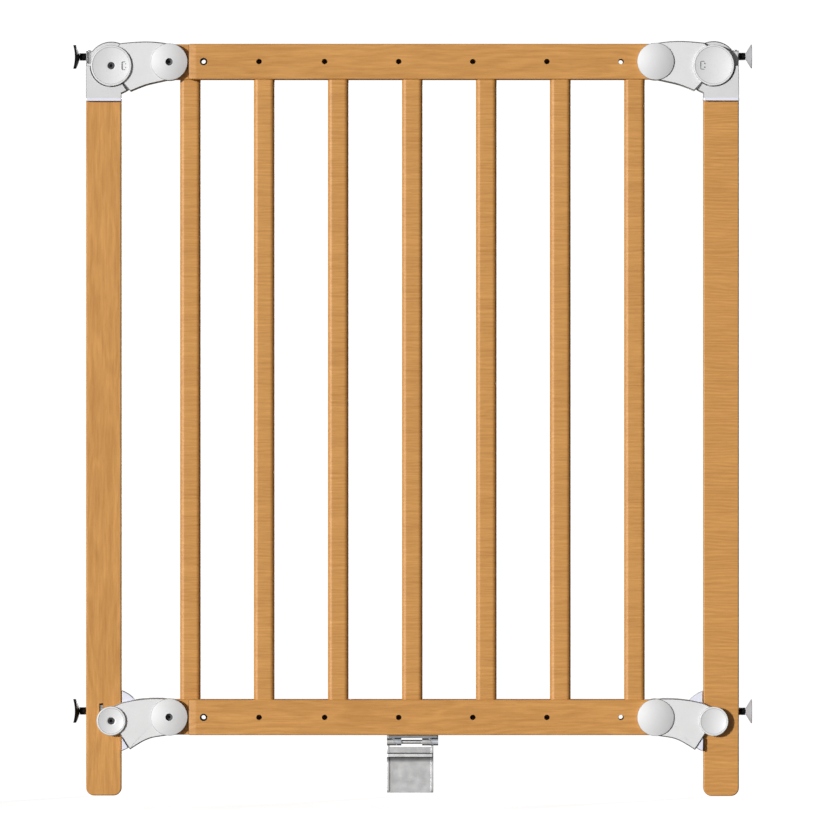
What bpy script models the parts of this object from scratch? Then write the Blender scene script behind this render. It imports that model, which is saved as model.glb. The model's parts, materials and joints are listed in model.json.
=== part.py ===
"""Extendable wooden safety gate: two identical halves that slide past each other.

Metres, +Z up, +X along the gate, -Y is the front. The origin is on the floor, under the middle.
Each half is a wall post, two fork arms and a barred frame. Lifting the frames swings the arms up
and draws the posts away from the walls. The right half is the left half turned half a turn about Z,
so a half is modelled once: its own x and z are those of the left half, and its own y is 0 in the
middle of its timber. In a half, -y is the side of the screws and +y is the side of the caps.
"""
import math

import bmesh
import bpy
from mathutils import Matrix, Vector

# Timber
TIMBER_DEPTH = 0.018
TIMBER_WIDTH = 0.0355
TIMBER_EDGE = 0.0012
GAP = 0.0003
FRAME_SPACING = TIMBER_DEPTH + GAP

# Pivots of a half
POST_PIVOT_X = -0.301
RAIL_PIVOT_X = -0.243
RAIL_Z = {"top": 0.7335, "bottom": 0.0785}
ARM_RISE = 0.0038
POST_PIVOT_Z = {level: z - ARM_RISE for level, z in RAIL_Z.items()}
PIVOT_BORE_R = 0.0045

# Wall post
POST_OUTER_X = -0.32625
POST_INNER_X = POST_OUTER_X + TIMBER_WIDTH
POST_SHOULDER_Z = 0.6942
POST_FOOT_R = 0.008
TENON_WIDTH = 0.027
TENON_DEPTH = 0.012
TENON_HEIGHT = 0.021

# Barred frame
RAIL_END_X = 0.2235
RAIL_END_ROUND = 0.0072
BAR_COUNT = 6
BAR_FIRST_X = -0.222
BAR_SPACING = 0.074
BAR_WIDTH = 0.0205
BAR_DEPTH = 0.014
BAR_ROUND = 0.0045
MORTISE_DEPTH = 0.008
BOLT_HOLE_R = 0.0026
BOLT_HOLES_X = (-0.2085, -0.1345, -0.0605, 0.0135, 0.0875, 0.153)
END_HOLE_R = 0.00325
END_HOLE_X = 0.2085

# Fork arms
FORK_GAP = 0.0005
CHEEK_THICKNESS = 0.005
CHEEK_INNER = TIMBER_DEPTH / 2 + FORK_GAP
CHEEK_OUTER = CHEEK_INNER + CHEEK_THICKNESS
ARM_END_R = 0.0184
STOP_ANGLE = math.radians(-57)
STOP_CLEARANCE = math.radians(0.6)
UPPER_EYE_R = 0.0195
LOWER_EYE_R = 0.0144
WEB_LOW, WEB_HIGH = math.radians(-35), math.radians(14)
WEB_POST_R = 0.0329
WEB_RAIL_R = 0.0187

# Corner bracket
HEAD_R = 0.0243
GUARD_TOP_R = 0.0297
GUARD_TOP_END = math.radians(35)
RECESS_R = 0.0209
LUG_STEP = 0.0005
NUT_BOX_HIGH = 0.0149

# Lower hinge plate
PLATE_R = 0.032
PLATE_DEPTH = 0.0174
PEG_R = 0.003
PEG_LENGTH = 0.0125
PEG_OFFSET = 0.020

# Pivot covers, screws and sleeves
COVER_BACK = CHEEK_OUTER + GAP
SLEEVE_R = 0.0042
SLEEVE_BORE_R = 0.0022
COVER_RECESS_R = 0.0043
RECESS_FLOOR = 0.0007
# Fronts of the covers, from the rim inwards: (share of the radius, height above the back)
DISHED = ((1.0, 0.0), (1.0, 0.0017), (0.96, 0.0022), (0.90, 0.0022), (0.86, 0.0014))
DOMED = ((1.0, 0.0), (1.0, 0.0013), (0.93, 0.0022), (0.60, 0.0043))
COVERS = {
    ("post", "top"): (0.0205, DISHED),
    ("post", "bottom"): (0.0147, DISHED),
    ("rail", "top"): (0.0185, DOMED),
    ("rail", "bottom"): (0.0185, DOMED),
}

# Pressure spindles and pads
SPINDLE_RISE = 0.0094
SPINDLE_R = 0.0039
SPINDLE_BORE_R = 0.0042
SPINDLE_INNER_X = -0.298
SPINDLE_BORE_X = -0.2928
SPINDLE_PIN_R = 0.0018
PAD_NECK_X = -0.3331
PAD_FACE_X = -0.3393
PAD_R = 0.0119
NUT_WIDTH = 0.013
NUT_THICKNESS = 0.0032
NUT_X = {"top": -0.3231, "bottom": -0.3111}
NUT_HEADROOM = 0.001
PAD_BORE_DEPTH = 0.0038
# The cone of a pad from its neck to its rim: (radius, height)
PAD_CONE = ((0.0039, 0.0), (0.0043, 0.0007), (0.0078, 0.0028), (0.0113, 0.0047))
PAD_HEIGHT = PAD_NECK_X - PAD_FACE_X
SPINDLE_Z = {"top": POST_PIVOT_Z["top"] + SPINDLE_RISE - GAP,
             "bottom": POST_PIVOT_Z["bottom"] + SPINDLE_RISE + GAP}
SPINDLE_CHAMFER = 0.0006

# Folding foot
FOOT_PIN_Z = 0.0539
FOOT_PIN_R = 0.0020
KNUCKLE_R = 0.0036
KNUCKLE_SLANT = 0.0023
LEAF_LEFT, LEAF_RIGHT = -0.0253, 0.0259
LEAF_THICKNESS = 0.0026
FLAP_RIGHT = 0.0193
FLAP_BOTTOM_Z = 0.0032
FLANGE_THICKNESS = 0.0026
# The flap's sheets, each as the lows and highs of y and z
FLAP_PLATE_Y = (-0.0022, -0.0006)
FLAP_BAND = ((-0.0030, -0.0130), (-0.0012, -0.0051))
FLAP_LIP = ((-0.0048, -0.0157), (-0.0008, -0.0124))
FLANGE_FRONT, FLANGE_BACK = -0.0036, 0.0032
LEAF_TOP = RAIL_Z["bottom"] - TIMBER_WIDTH / 2 - GAP - FOOT_PIN_Z
LEAF_BOTTOM = LEAF_TOP - LEAF_THICKNESS
LEAF_HALF_DEPTH = 0.0085
FOOT_SCREWS_X = (-0.0055, 0.0050)
FOOT_SCREW_LENGTH = 0.0125
FOOT_SCREW_R = 0.0016
FOOT_HEAD_R = 0.0033
FOOT_HEAD_HEIGHT = 0.0009
FOOT_SINK = 0.0012
# Each knuckle: left end, right end, and whether each of them is slanted
FIXED_KNUCKLES = ((-0.0174, -0.0109, True, False), (0.01905, LEAF_RIGHT, True, False))
FLAP_KNUCKLES = ((LEAF_LEFT, -0.0177, False, True), (0.0098, 0.01875, False, True))

# How finely round shapes are cut
ROUND, COARSE = 16, 10

WOOD = ("wood", (0.60, 0.31, 0.10), 0.55, 0.0)
WHITE = ("white_plastic", (0.82, 0.82, 0.82), 0.35, 0.0)
BLACK = ("black_plastic", (0.02, 0.02, 0.02), 0.4, 0.0)
GREY = ("grey_plastic", (0.45, 0.45, 0.45), 0.4, 0.0)
STEEL = ("zinc_steel", (0.60, 0.60, 0.61), 0.35, 1.0)


def clear_scene():
    for item in list(bpy.data.objects):
        bpy.data.objects.remove(item, do_unlink=True)


# ---- meshes -------------------------------------------------------------------------------------

def arc(radius, start, end, steps, centre=(0.0, 0.0)):
    """Points along an arc in the x-z plane, both ends included."""
    angles = [start + (end - start) * i / steps for i in range(steps + 1)]
    return [(centre[0] + radius * math.cos(a), centre[1] + radius * math.sin(a)) for a in angles]


def curve(points, steps=2):
    """A smooth curve through the points (Catmull-Rom), both ends included."""
    knots = [Vector(p) for p in points]
    knots = [2 * knots[0] - knots[1], *knots, 2 * knots[-1] - knots[-2]]
    result = []
    for p0, p1, p2, p3 in zip(knots, knots[1:], knots[2:], knots[3:]):
        for t in (i / steps for i in range(steps)):
            bend = 2 * p0 - 5 * p1 + 4 * p2 - p3
            twist = 3 * p1 - p0 - 3 * p2 + p3
            result.append(tuple((2 * p1 + (p2 - p0) * t + bend * t ** 2 + twist * t ** 3) / 2))
    return result + [points[-1]]


def rounded_box(width, height, radius, steps=2):
    """The outline of a rectangle about (0, 0) with round corners."""
    x, z = width / 2 - radius, height / 2 - radius
    outline = []
    for corner, centre in enumerate([(x, z), (-x, z), (-x, -z), (x, -z)]):
        outline += arc(radius, corner * math.pi / 2, (corner + 1) * math.pi / 2, steps, centre)
    return outline


def prism(outline, near, far):
    """A prism of an x-z outline between two y planes."""
    bm = bmesh.new()
    face = bm.faces.new([bm.verts.new((x, near, z)) for x, z in outline])
    grown = bmesh.ops.extrude_face_region(bm, geom=[face])["geom"]
    tips = [item for item in grown if isinstance(item, bmesh.types.BMVert)]
    bmesh.ops.translate(bm, vec=(0, far - near, 0), verts=tips)
    return bm


def box(low, high):
    outline = [(low[0], low[2]), (high[0], low[2]), (high[0], high[2]), (low[0], high[2])]
    return prism(outline, low[1], high[1])


def lathe(profile, steps):
    """A solid turned about the y axis from (radius, y) points."""
    bm = bmesh.new()
    ring = [bm.verts.new((radius, y, 0)) for radius, y in profile]
    edges = [bm.edges.new(pair) for pair in zip(ring, ring[1:])]
    bmesh.ops.spin(bm, geom=ring + edges, cent=(0, 0, 0), axis=(0, 1, 0), angle=math.tau,
                   steps=steps)
    return bm


def cylinder(radius, near, far, steps=ROUND):
    """A cylinder along y."""
    turn = math.tau / steps
    return prism([(radius * math.cos(i * turn), radius * math.sin(i * turn))
                  for i in range(steps)], near, far)


def moved(bm, matrix):
    bmesh.ops.transform(bm, matrix=matrix, verts=bm.verts)
    return bm


def joined(*shapes):
    """One bmesh that holds several separate shapes."""
    whole = bmesh.new()
    for shape in shapes:
        mesh = to_mesh(shape, "shape")
        whole.from_mesh(mesh)
        bpy.data.meshes.remove(mesh)
    return whole


def to_mesh(bm, name):
    """Close the shape's seams, turn its faces outwards and store it as a mesh."""
    bmesh.ops.remove_doubles(bm, verts=bm.verts, dist=1e-6)
    bmesh.ops.recalc_face_normals(bm, faces=bm.faces)
    mesh = bpy.data.meshes.new(name)
    bm.to_mesh(mesh)
    bm.free()
    return mesh


def shifted(x=0.0, y=0.0, z=0.0):
    return Matrix.Translation((x, y, z))


# These turn a shape made along +y to run along +x, -x or +z.
ALONG_X = Matrix.Rotation(-math.pi / 2, 4, "Z")
OUTWARD = Matrix.Rotation(math.pi / 2, 4, "Z")
ALONG_Z = Matrix.Rotation(math.pi / 2, 4, "X")


# ---- objects ------------------------------------------------------------------------------------

def material_for(name, look):
    kind, colour, roughness, metallic = look
    material = bpy.data.materials.new(f"{name}_{kind}")
    material.use_nodes = True
    shader = material.node_tree.nodes["Principled BSDF"]
    shader.inputs["Base Color"].default_value = (*colour, 1.0)
    shader.inputs["Roughness"].default_value = roughness
    shader.inputs["Metallic"].default_value = metallic
    return material


def add_object(name, mesh, parent, place):
    """Link an object with the given world matrix under its body's empty."""
    item = bpy.data.objects.new(name, mesh)
    bpy.context.scene.collection.objects.link(item)
    item.parent = parent
    item.matrix_basis = parent.matrix_basis.inverted() @ place
    return item


def add_body(name, place):
    """An empty on the joint's axis that carries all pieces of one moving body."""
    body = bpy.data.objects.new(f"{name}_body", None)
    body.empty_display_size = 0.02
    bpy.context.scene.collection.objects.link(body)
    body.matrix_basis = place
    return body


def add_piece(name, bm, look, parent, place, soften=0.0, smooth=False):
    mesh = to_mesh(bm, name)
    mesh.materials.append(material_for(name, look))
    if smooth:
        mesh.shade_smooth()
        mesh.set_sharp_from_angle(angle=math.radians(35))
    item = add_object(name, mesh, parent, place)
    if soften:
        bevel = item.modifiers.new("soft_edges", "BEVEL")
        bevel.width = soften
        bevel.segments = 1
        bevel.limit_method = "ANGLE"
        bevel.angle_limit = math.radians(60)
    return item


def combine(item, operation, *shapes):
    """Cut shapes from the piece, or join them on. Their places are in the piece's own space."""
    tool = bpy.data.objects.new(f"{item.name}_tool", to_mesh(joined(*shapes), "tool"))
    bpy.context.scene.collection.objects.link(tool)
    tool.parent = item
    tool.hide_render = True
    tool.display_type = "WIRE"
    boolean = item.modifiers.new(operation.lower(), "BOOLEAN")
    boolean.operation = operation
    boolean.solver = "EXACT"
    boolean.object = tool


# ---- pieces of a half ---------------------------------------------------------------------------

def wall_post(name, body, half):
    pivot_z = POST_PIVOT_Z["bottom"]
    spindle_z = SPINDLE_Z["bottom"]
    left, right = POST_OUTER_X, POST_INNER_X
    middle = (left + right) / 2
    outline = [(right, POST_SHOULDER_Z), (left, POST_SHOULDER_Z)]
    outline += arc(POST_FOOT_R, math.pi, 1.5 * math.pi, 4, (left + POST_FOOT_R, POST_FOOT_R))
    outline += arc(POST_FOOT_R, 1.5 * math.pi, math.tau, 4, (right - POST_FOOT_R, POST_FOOT_R))
    post = add_piece(name, prism(outline, -TIMBER_DEPTH / 2, TIMBER_DEPTH / 2), WOOD, body, half,
                     soften=TIMBER_EDGE)
    tenon_top = POST_SHOULDER_Z + TENON_HEIGHT
    combine(post, "UNION", box(
        (middle - TENON_WIDTH / 2, -TENON_DEPTH / 2, POST_SHOULDER_Z - 0.01),
        (middle + TENON_WIDTH / 2, TENON_DEPTH / 2, tenon_top)))
    combine(post, "DIFFERENCE",
            moved(cylinder(PIVOT_BORE_R, -0.02, 0.02), shifted(POST_PIVOT_X, 0, pivot_z)),
            *plate_pegs(right, pivot_z, PEG_R + GAP, PEG_LENGTH + 2 * GAP))
    combine(post, "DIFFERENCE", spindle_bore(spindle_z))
    combine(post, "DIFFERENCE", nut_slot(NUT_X["bottom"], spindle_z))


def spindle_bore(z, reference_x=0.0):
    bore = cylinder(SPINDLE_BORE_R, POST_OUTER_X - 0.01 - reference_x,
                    SPINDLE_BORE_X - reference_x, 16)
    return moved(bore, shifted(z=z) @ ALONG_X)


def nut_slot(x, z):
    """The slot that a square nut drops into from the screw side."""
    half_width, half_thickness = NUT_WIDTH / 2 + GAP, NUT_THICKNESS / 2 + GAP
    return box((x - half_thickness, -TIMBER_DEPTH, z - half_width),
               (x + half_thickness, half_width, z + half_width + NUT_HEADROOM))


def plate_pegs(face_x, pivot_z, radius, length):
    """Two pegs along x, one above and one below the pivot."""
    return [moved(cylinder(radius, face_x - length, face_x + 0.002, COARSE),
                  shifted(z=pivot_z + side * PEG_OFFSET) @ ALONG_X) for side in (-1, 1)]


def corner_bracket(name, body, half):
    """The head that caps the post: a round boss inside the fork and a thick lower part whose
    slanted end stops the arm."""
    left, right = POST_OUTER_X - POST_PIVOT_X, POST_INNER_X - POST_PIVOT_X
    bottom = POST_SHOULDER_Z + GAP - POST_PIVOT_Z["top"]
    box_end = math.pi - math.asin(NUT_BOX_HIGH / HEAD_R)
    core = [(left, bottom), (right, bottom)]
    core += arc(GUARD_TOP_R, -math.acos(right / GUARD_TOP_R), GUARD_TOP_END, 10)
    core += arc(HEAD_R, GUARD_TOP_END, box_end, 12)
    core += [(left, NUT_BOX_HIGH)]
    stop = STOP_ANGLE - STOP_CLEARANCE
    lug_r = GUARD_TOP_R - LUG_STEP
    thick = [(left, bottom), (right, bottom)]
    thick += arc(lug_r, -math.acos(right / lug_r), stop, 2)
    thick += arc(RECESS_R, stop, -math.pi, 12)
    thick += [(left, 0.0)]
    place = half @ shifted(POST_PIVOT_X, 0, POST_PIVOT_Z["top"])
    bracket = add_piece(name, prism(core, -TIMBER_DEPTH / 2, TIMBER_DEPTH / 2), WHITE, body, place)
    combine(bracket, "UNION", prism(thick, -CHEEK_OUTER, CHEEK_OUTER))
    spindle_z = SPINDLE_Z["top"] - POST_PIVOT_Z["top"]
    middle = (left + right) / 2
    socket_x, socket_y = TENON_WIDTH / 2 + GAP, TENON_DEPTH / 2 + GAP
    combine(bracket, "DIFFERENCE", cylinder(PIVOT_BORE_R, -0.02, 0.02),
            box((middle - socket_x, -socket_y, bottom - 0.01),
                (middle + socket_x, socket_y, bottom + TENON_HEIGHT)))
    combine(bracket, "DIFFERENCE", spindle_bore(spindle_z, POST_PIVOT_X))
    combine(bracket, "DIFFERENCE", nut_slot(NUT_X["top"] - POST_PIVOT_X, spindle_z))


def hinge_plate(name, body, half):
    """The half-round guard behind the lower arm, with the lug that stops the arm."""
    face = POST_INNER_X - POST_PIVOT_X + GAP
    edge = math.acos(face / PLATE_R)
    stop = STOP_ANGLE - STOP_CLEARANCE
    place = half @ shifted(POST_PIVOT_X, 0, POST_PIVOT_Z["bottom"])
    plate = add_piece(name, prism(arc(PLATE_R, -edge, edge, 16), -PLATE_DEPTH / 2, PLATE_DEPTH / 2),
                      WHITE, body, place)
    lug_r = PLATE_R - LUG_STEP
    lug = arc(lug_r, -math.acos(face / lug_r), stop, 2) + [(face, face * math.tan(stop))]
    combine(plate, "UNION", prism(lug, -CHEEK_OUTER, CHEEK_OUTER))
    combine(plate, "UNION", *plate_pegs(face - GAP, 0.0, PEG_R, PEG_LENGTH))


def arm_outline(level):
    """The outline of a cheek about the post pivot."""
    rail = (RAIL_PIVOT_X - POST_PIVOT_X, ARM_RISE)
    if level == "top":
        eye = arc(UPPER_EYE_R, STOP_ANGLE, math.radians(-285), 10)
        top = [(0.0092, 0.0226), (0.0207, 0.0237), (0.0320, 0.0243), (0.0420, 0.0241),
               (0.0510, 0.0232)]
        bottom = [(0.0500, -0.0160), (0.0370, -0.0190), (0.0287, -0.0219), (0.0193, -0.0258)]
    else:
        eye = arc(LOWER_EYE_R, STOP_ANGLE, math.radians(-276), 9)
        top = [(0.0103, 0.0184), (0.0237, 0.0211), (0.0380, 0.0227), (0.0510, 0.0229)]
        bottom = [(0.0500, -0.0155), (0.0407, -0.0171), (0.0327, -0.0202), (0.0250, -0.0247),
                  (0.0187, -0.0287)]
    end = arc(ARM_END_R, math.radians(92), math.radians(-94), 10, rail)
    return eye + curve(top) + end + curve(bottom)


def web_outline():
    """The bridge between the two cheeks, clear of the post's guard and of the rail's round end."""
    rail = (RAIL_PIVOT_X - POST_PIVOT_X, ARM_RISE)
    return (arc(WEB_POST_R, WEB_LOW, WEB_HIGH, 4)
            + arc(WEB_RAIL_R, math.radians(142), math.radians(222), 5, rail))


def fork_arm(name, level, body, half):
    """A fork at each end: two cheeks outside the timber, joined by a web between them."""
    place = half @ shifted(POST_PIVOT_X, 0, POST_PIVOT_Z[level])
    web_y = (CHEEK_INNER + CHEEK_OUTER) / 2
    arm = add_piece(name, prism(web_outline(), -web_y, web_y), WHITE, body, place)
    outline = arm_outline(level)
    combine(arm, "UNION", prism(outline, -CHEEK_OUTER, -CHEEK_INNER),
            prism(outline, CHEEK_INNER, CHEEK_OUTER))
    combine(arm, "DIFFERENCE", cylinder(PIVOT_BORE_R, -0.02, 0.02),
            moved(cylinder(PIVOT_BORE_R, -0.02, 0.02),
                  shifted(RAIL_PIVOT_X - POST_PIVOT_X, 0, ARM_RISE)))


def screw_disc(name, cover, body, place):
    """The cover on the screw side, with a recess for the screw's head."""
    radius, front = cover
    back, floor = -COVER_BACK, -COVER_BACK - RECESS_FLOOR
    profile = [(SLEEVE_BORE_R, back)]
    profile += [(share * radius, back - height) for share, height in front]
    profile += [(COVER_RECESS_R, back - front[-1][1])]
    profile += [(COVER_RECESS_R, floor), (SLEEVE_BORE_R, floor), (SLEEVE_BORE_R, back)]
    add_piece(name, lathe(profile, ROUND), WHITE, body, place, smooth=True)


def cap(name, cover, body, place):
    """The smooth cover on the other side, with the pivot sleeve moulded on its back."""
    radius, front = cover
    end = -CHEEK_OUTER - GAP / 2
    profile = [(0.0, COVER_BACK + front[-1][1])]
    profile += [(share * radius, COVER_BACK + height) for share, height in reversed(front)]
    profile += [(SLEEVE_R, COVER_BACK), (SLEEVE_R, end), (SLEEVE_BORE_R, end)]
    profile += [(SLEEVE_BORE_R, CHEEK_INNER), (0.0, CHEEK_INNER)]
    add_piece(name, lathe(profile, ROUND), WHITE, body, place, smooth=True)


def wall_pad(name, look, body, half, z):
    """A cone pad that swivels on the end of its spindle; its flat face meets the wall."""
    bore = SPINDLE_PIN_R + GAP
    profile = [(0.0, PAD_BORE_DEPTH), (bore, PAD_BORE_DEPTH), (bore, 0.0)]
    profile += [*PAD_CONE, (PAD_R, PAD_CONE[-1][1] + GAP), (PAD_R, PAD_HEIGHT), (0.0, PAD_HEIGHT)]
    add_piece(name, lathe(profile, ROUND), look, body,
              half @ shifted(PAD_NECK_X, 0, z) @ OUTWARD, smooth=True)


def spindle(name, body, half, z):
    """The threaded rod, with a thin pin at its end that the pad turns on."""
    shoulder = SPINDLE_INNER_X - PAD_NECK_X - GAP
    tip = shoulder + PAD_BORE_DEPTH - 2 * GAP
    profile = [(0.0, 0.0), (SPINDLE_R - SPINDLE_CHAMFER, 0.0), (SPINDLE_R, SPINDLE_CHAMFER),
               (SPINDLE_R, shoulder), (SPINDLE_PIN_R, shoulder), (SPINDLE_PIN_R, tip), (0.0, tip)]
    add_piece(name, lathe(profile, 16), BLACK, body,
              half @ shifted(SPINDLE_INNER_X, 0, z) @ OUTWARD, smooth=True)


def spindle_nut(name, level, body, half):
    """A square nut, dropped into its slot from the screw side."""
    square = rounded_box(NUT_WIDTH, NUT_WIDTH, 0.0008, 1)
    nut = moved(prism(square, -NUT_THICKNESS / 2, NUT_THICKNESS / 2), ALONG_X)
    item = add_piece(name, nut, STEEL, body, half @ shifted(NUT_X[level], 0, SPINDLE_Z[level]))
    combine(item, "DIFFERENCE", moved(cylinder(SPINDLE_BORE_R, -0.01, 0.01, 16), ALONG_X))


def rail(name, level, body, half):
    """A rail with a round end at its arm, and its free end rounded on the outer side."""
    z = RAIL_Z[level]
    half_height = TIMBER_WIDTH / 2
    outline = arc(half_height, math.pi / 2, 1.5 * math.pi, 10, (RAIL_PIVOT_X, z))
    outline += [(RAIL_END_X, z - half_height), (RAIL_END_X, z + half_height)]
    bm = prism(outline, -TIMBER_DEPTH / 2, TIMBER_DEPTH / 2)
    corner = [edge for edge in bm.edges
              if all(v.co.x > RAIL_END_X - GAP and v.co.y > 0 for v in edge.verts)]
    bmesh.ops.bevel(bm, geom=corner, offset=RAIL_END_ROUND, segments=4, profile=0.5,
                    affect="EDGES", clamp_overlap=False)
    item = add_piece(name, bm, WOOD, body, half, soften=TIMBER_EDGE)
    holes = [(x, BOLT_HOLE_R, COARSE) for x in BOLT_HOLES_X]
    holes += [(END_HOLE_X, END_HOLE_R, COARSE), (RAIL_PIVOT_X, PIVOT_BORE_R, ROUND)]
    cutters = [moved(cylinder(radius, -0.02, 0.02, steps), shifted(x, 0, z))
               for x, radius, steps in holes]
    inward = -1 if level == "top" else 1
    mouth, floor = sorted((z + inward * (half_height + 0.002),
                           z + inward * (half_height - MORTISE_DEPTH)))
    section = rounded_box(BAR_WIDTH + 2 * GAP, BAR_DEPTH + 2 * GAP, BAR_ROUND + GAP)
    cutters += [moved(prism(section, mouth, floor), shifted(BAR_FIRST_X + i * BAR_SPACING) @ ALONG_Z)
                for i in range(BAR_COUNT)]
    combine(item, "DIFFERENCE", *cutters)


def bar(name, number, body, half):
    reach = TIMBER_WIDTH / 2 - MORTISE_DEPTH + GAP
    low, high = RAIL_Z["bottom"] + reach, RAIL_Z["top"] - reach
    section = rounded_box(BAR_WIDTH, BAR_DEPTH, BAR_ROUND)
    add_piece(name, moved(prism(section, 0.0, high - low), ALONG_Z), WOOD, body,
              half @ shifted(BAR_FIRST_X + (number - 1) * BAR_SPACING, 0, low), smooth=True)


# ---- the folding foot, with x and z from the middle of its pin ----------------------------------

def knuckle(left, right, slant_left, slant_right):
    """A hinge tube along x; a slanted end lies further right at the bottom."""
    bm = bmesh.new()
    rings = []
    for radius in (KNUCKLE_R, FOOT_PIN_R + GAP):
        for x, slant in ((left, slant_left), (right, slant_right)):
            lean = KNUCKLE_SLANT / KNUCKLE_R if slant else 0.0
            ring = []
            for angle in (i * math.tau / ROUND for i in range(ROUND)):
                y, z = radius * math.cos(angle), radius * math.sin(angle)
                ring.append(bm.verts.new((x - lean * z, y, z)))
            rings.append(ring)
    outer_left, outer_right, inner_left, inner_right = rings
    for a, b in ((outer_left, outer_right), (outer_right, inner_right),
                 (inner_right, inner_left), (inner_left, outer_left)):
        for i in range(ROUND):
            bm.faces.new((a[i], a[i - 1], b[i - 1], b[i]))
    return bm


def foot_screw_holes(radius, low, high):
    return [moved(cylinder(radius, low, high, COARSE), shifted(x) @ ALONG_Z)
            for x in FOOT_SCREWS_X]


def foot_leaf(body, place):
    """The fixed leaf, screwed under the front frame's bottom rail."""
    leaf = add_piece("foot_leaf", box((LEAF_LEFT, -LEAF_HALF_DEPTH, LEAF_BOTTOM),
                                      (LEAF_RIGHT, LEAF_HALF_DEPTH, LEAF_TOP)), STEEL, body, place)
    for left, right, slant_left, slant_right in FIXED_KNUCKLES:
        neck_low = FOOT_PIN_R + 3 * GAP
        neck_left = left + GAP
        combine(leaf, "UNION", box((neck_left, 0.0006, neck_low),
                                   (right - GAP, 0.0032, LEAF_BOTTOM + 0.0005)))
        combine(leaf, "UNION", knuckle(left, right, slant_left, slant_right))
    combine(leaf, "DIFFERENCE",
            *foot_screw_holes(FOOT_SCREW_R + 2 * GAP, LEAF_BOTTOM - 0.001, LEAF_TOP + 0.001))
    combine(leaf, "DIFFERENCE",
            *foot_screw_holes(FOOT_HEAD_R + GAP, LEAF_BOTTOM - 0.001, LEAF_BOTTOM + FOOT_SINK))


def foot_screw(name, x, body, place):
    """A screw up into the rail, its head sunk in the leaf."""
    shoulder = FOOT_HEAD_HEIGHT
    profile = [(0.0, 0.0), (FOOT_HEAD_R, 0.0), (FOOT_HEAD_R, shoulder), (FOOT_SCREW_R, shoulder),
               (FOOT_SCREW_R, FOOT_SCREW_LENGTH), (0.0, FOOT_SCREW_LENGTH)]
    add_piece(name, moved(lathe(profile, COARSE), ALONG_Z), STEEL, body,
              place @ shifted(x, 0, LEAF_BOTTOM), smooth=True)


def foot_pin(body, place):
    pin = cylinder(FOOT_PIN_R, LEAF_LEFT + GAP, LEAF_RIGHT - GAP, 16)
    add_piece("foot_pin", moved(pin, ALONG_X), STEEL, body, place, smooth=True)


def foot_flap(body, place):
    """A pressed flap: a back plate and a stepped front band between two side flanges."""
    bottom = FLAP_BOTTOM_Z - FOOT_PIN_Z
    inner_left, inner_right = LEAF_LEFT + 0.001, FLAP_RIGHT - 0.001
    plate_top = FLAP_BAND[0][1]
    plate = box((inner_left, FLAP_PLATE_Y[0], bottom + GAP), (inner_right, FLAP_PLATE_Y[1], plate_top))
    flap = add_piece("foot_flap", plate, STEEL, body, place)
    side = [(FLANGE_BACK, bottom + 0.003), (0.0010, bottom), (FLANGE_FRONT, bottom),
            (FLANGE_FRONT, -0.0062), (-0.0022, -0.0030), (0.0022, -0.0030), (FLANGE_BACK, -0.0055)]
    for x in (LEAF_LEFT, FLAP_RIGHT - FLANGE_THICKNESS):
        combine(flap, "UNION", moved(prism(side, x, x + FLANGE_THICKNESS), ALONG_X))
    for low, high in (FLAP_BAND, FLAP_LIP):
        combine(flap, "UNION", box((inner_left, *low), (inner_right, *high)))
    for ends in FLAP_KNUCKLES:
        combine(flap, "UNION", knuckle(*ends))


# ---- assembly -----------------------------------------------------------------------------------

def build_half(side, frame, half, pad_look):
    """All pieces of one half. side names its post and arms, frame names its barred frame."""
    def body_at(name, x, z):
        return add_body(name, half @ shifted(x, 0, z))

    post_body = body_at(f"{side}_post", POST_PIVOT_X, POST_PIVOT_Z["top"])
    frame_body = body_at(f"{frame}_frame", RAIL_PIVOT_X, RAIL_Z["top"])
    wall_post(f"{side}_post", post_body, half)
    corner_bracket(f"{side}_corner_bracket", post_body, half)
    hinge_plate(f"{side}_lower_hinge_plate", post_body, half)
    for level, word in (("top", "upper"), ("bottom", "lower")):
        arm_body = body_at(f"{side}_{word}_arm", POST_PIVOT_X, POST_PIVOT_Z[level])
        fork_arm(f"{side}_{word}_arm", level, arm_body, half)
        for end, body, x, z in (("post", post_body, POST_PIVOT_X, POST_PIVOT_Z[level]),
                                ("rail", frame_body, RAIL_PIVOT_X, RAIL_Z[level])):
            cover, place = COVERS[end, level], half @ shifted(x, 0, z)
            screw_disc(f"{side}_{word}_{end}_screw_disc", cover, body, place)
            cap(f"{side}_{word}_{end}_cap", cover, body, place)
        spindle_z = SPINDLE_Z[level]
        pad_body = body_at(f"{side}_{word}_pad", PAD_NECK_X, spindle_z)
        wall_pad(f"{side}_{word}_wall_pad", pad_look, pad_body, half, spindle_z)
        spindle_body = body_at(f"{side}_{word}_spindle", SPINDLE_INNER_X, spindle_z)
        spindle(f"{side}_{word}_spindle", spindle_body, half, spindle_z)
        spindle_nut(f"{side}_{word}_spindle_nut", level, post_body, half)
        rail(f"{frame}_{level}_rail", level, frame_body, half)
    for number in range(1, BAR_COUNT + 1):
        bar(f"{frame}_bar_{number}", number, frame_body, half)
    return frame_body


def build_foot(frame_body):
    place = shifted(0, -FRAME_SPACING / 2, FOOT_PIN_Z)
    foot_leaf(frame_body, place)
    for name, x in zip(("foot_left_screw", "foot_right_screw"), FOOT_SCREWS_X):
        foot_screw(name, x, frame_body, place)
    foot_pin(add_body("foot_pin", place), place)
    foot_flap(add_body("foot_flap", place), place)
    holes = foot_screw_holes(FOOT_SCREW_R + GAP, LEAF_BOTTOM, LEAF_BOTTOM + FOOT_SCREW_LENGTH + GAP)
    bottom_rail = bpy.data.objects["front_bottom_rail"]
    into_rail = bottom_rail.matrix_world.inverted() @ place
    combine(bottom_rail, "DIFFERENCE", *[moved(hole, into_rail) for hole in holes])


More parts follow.
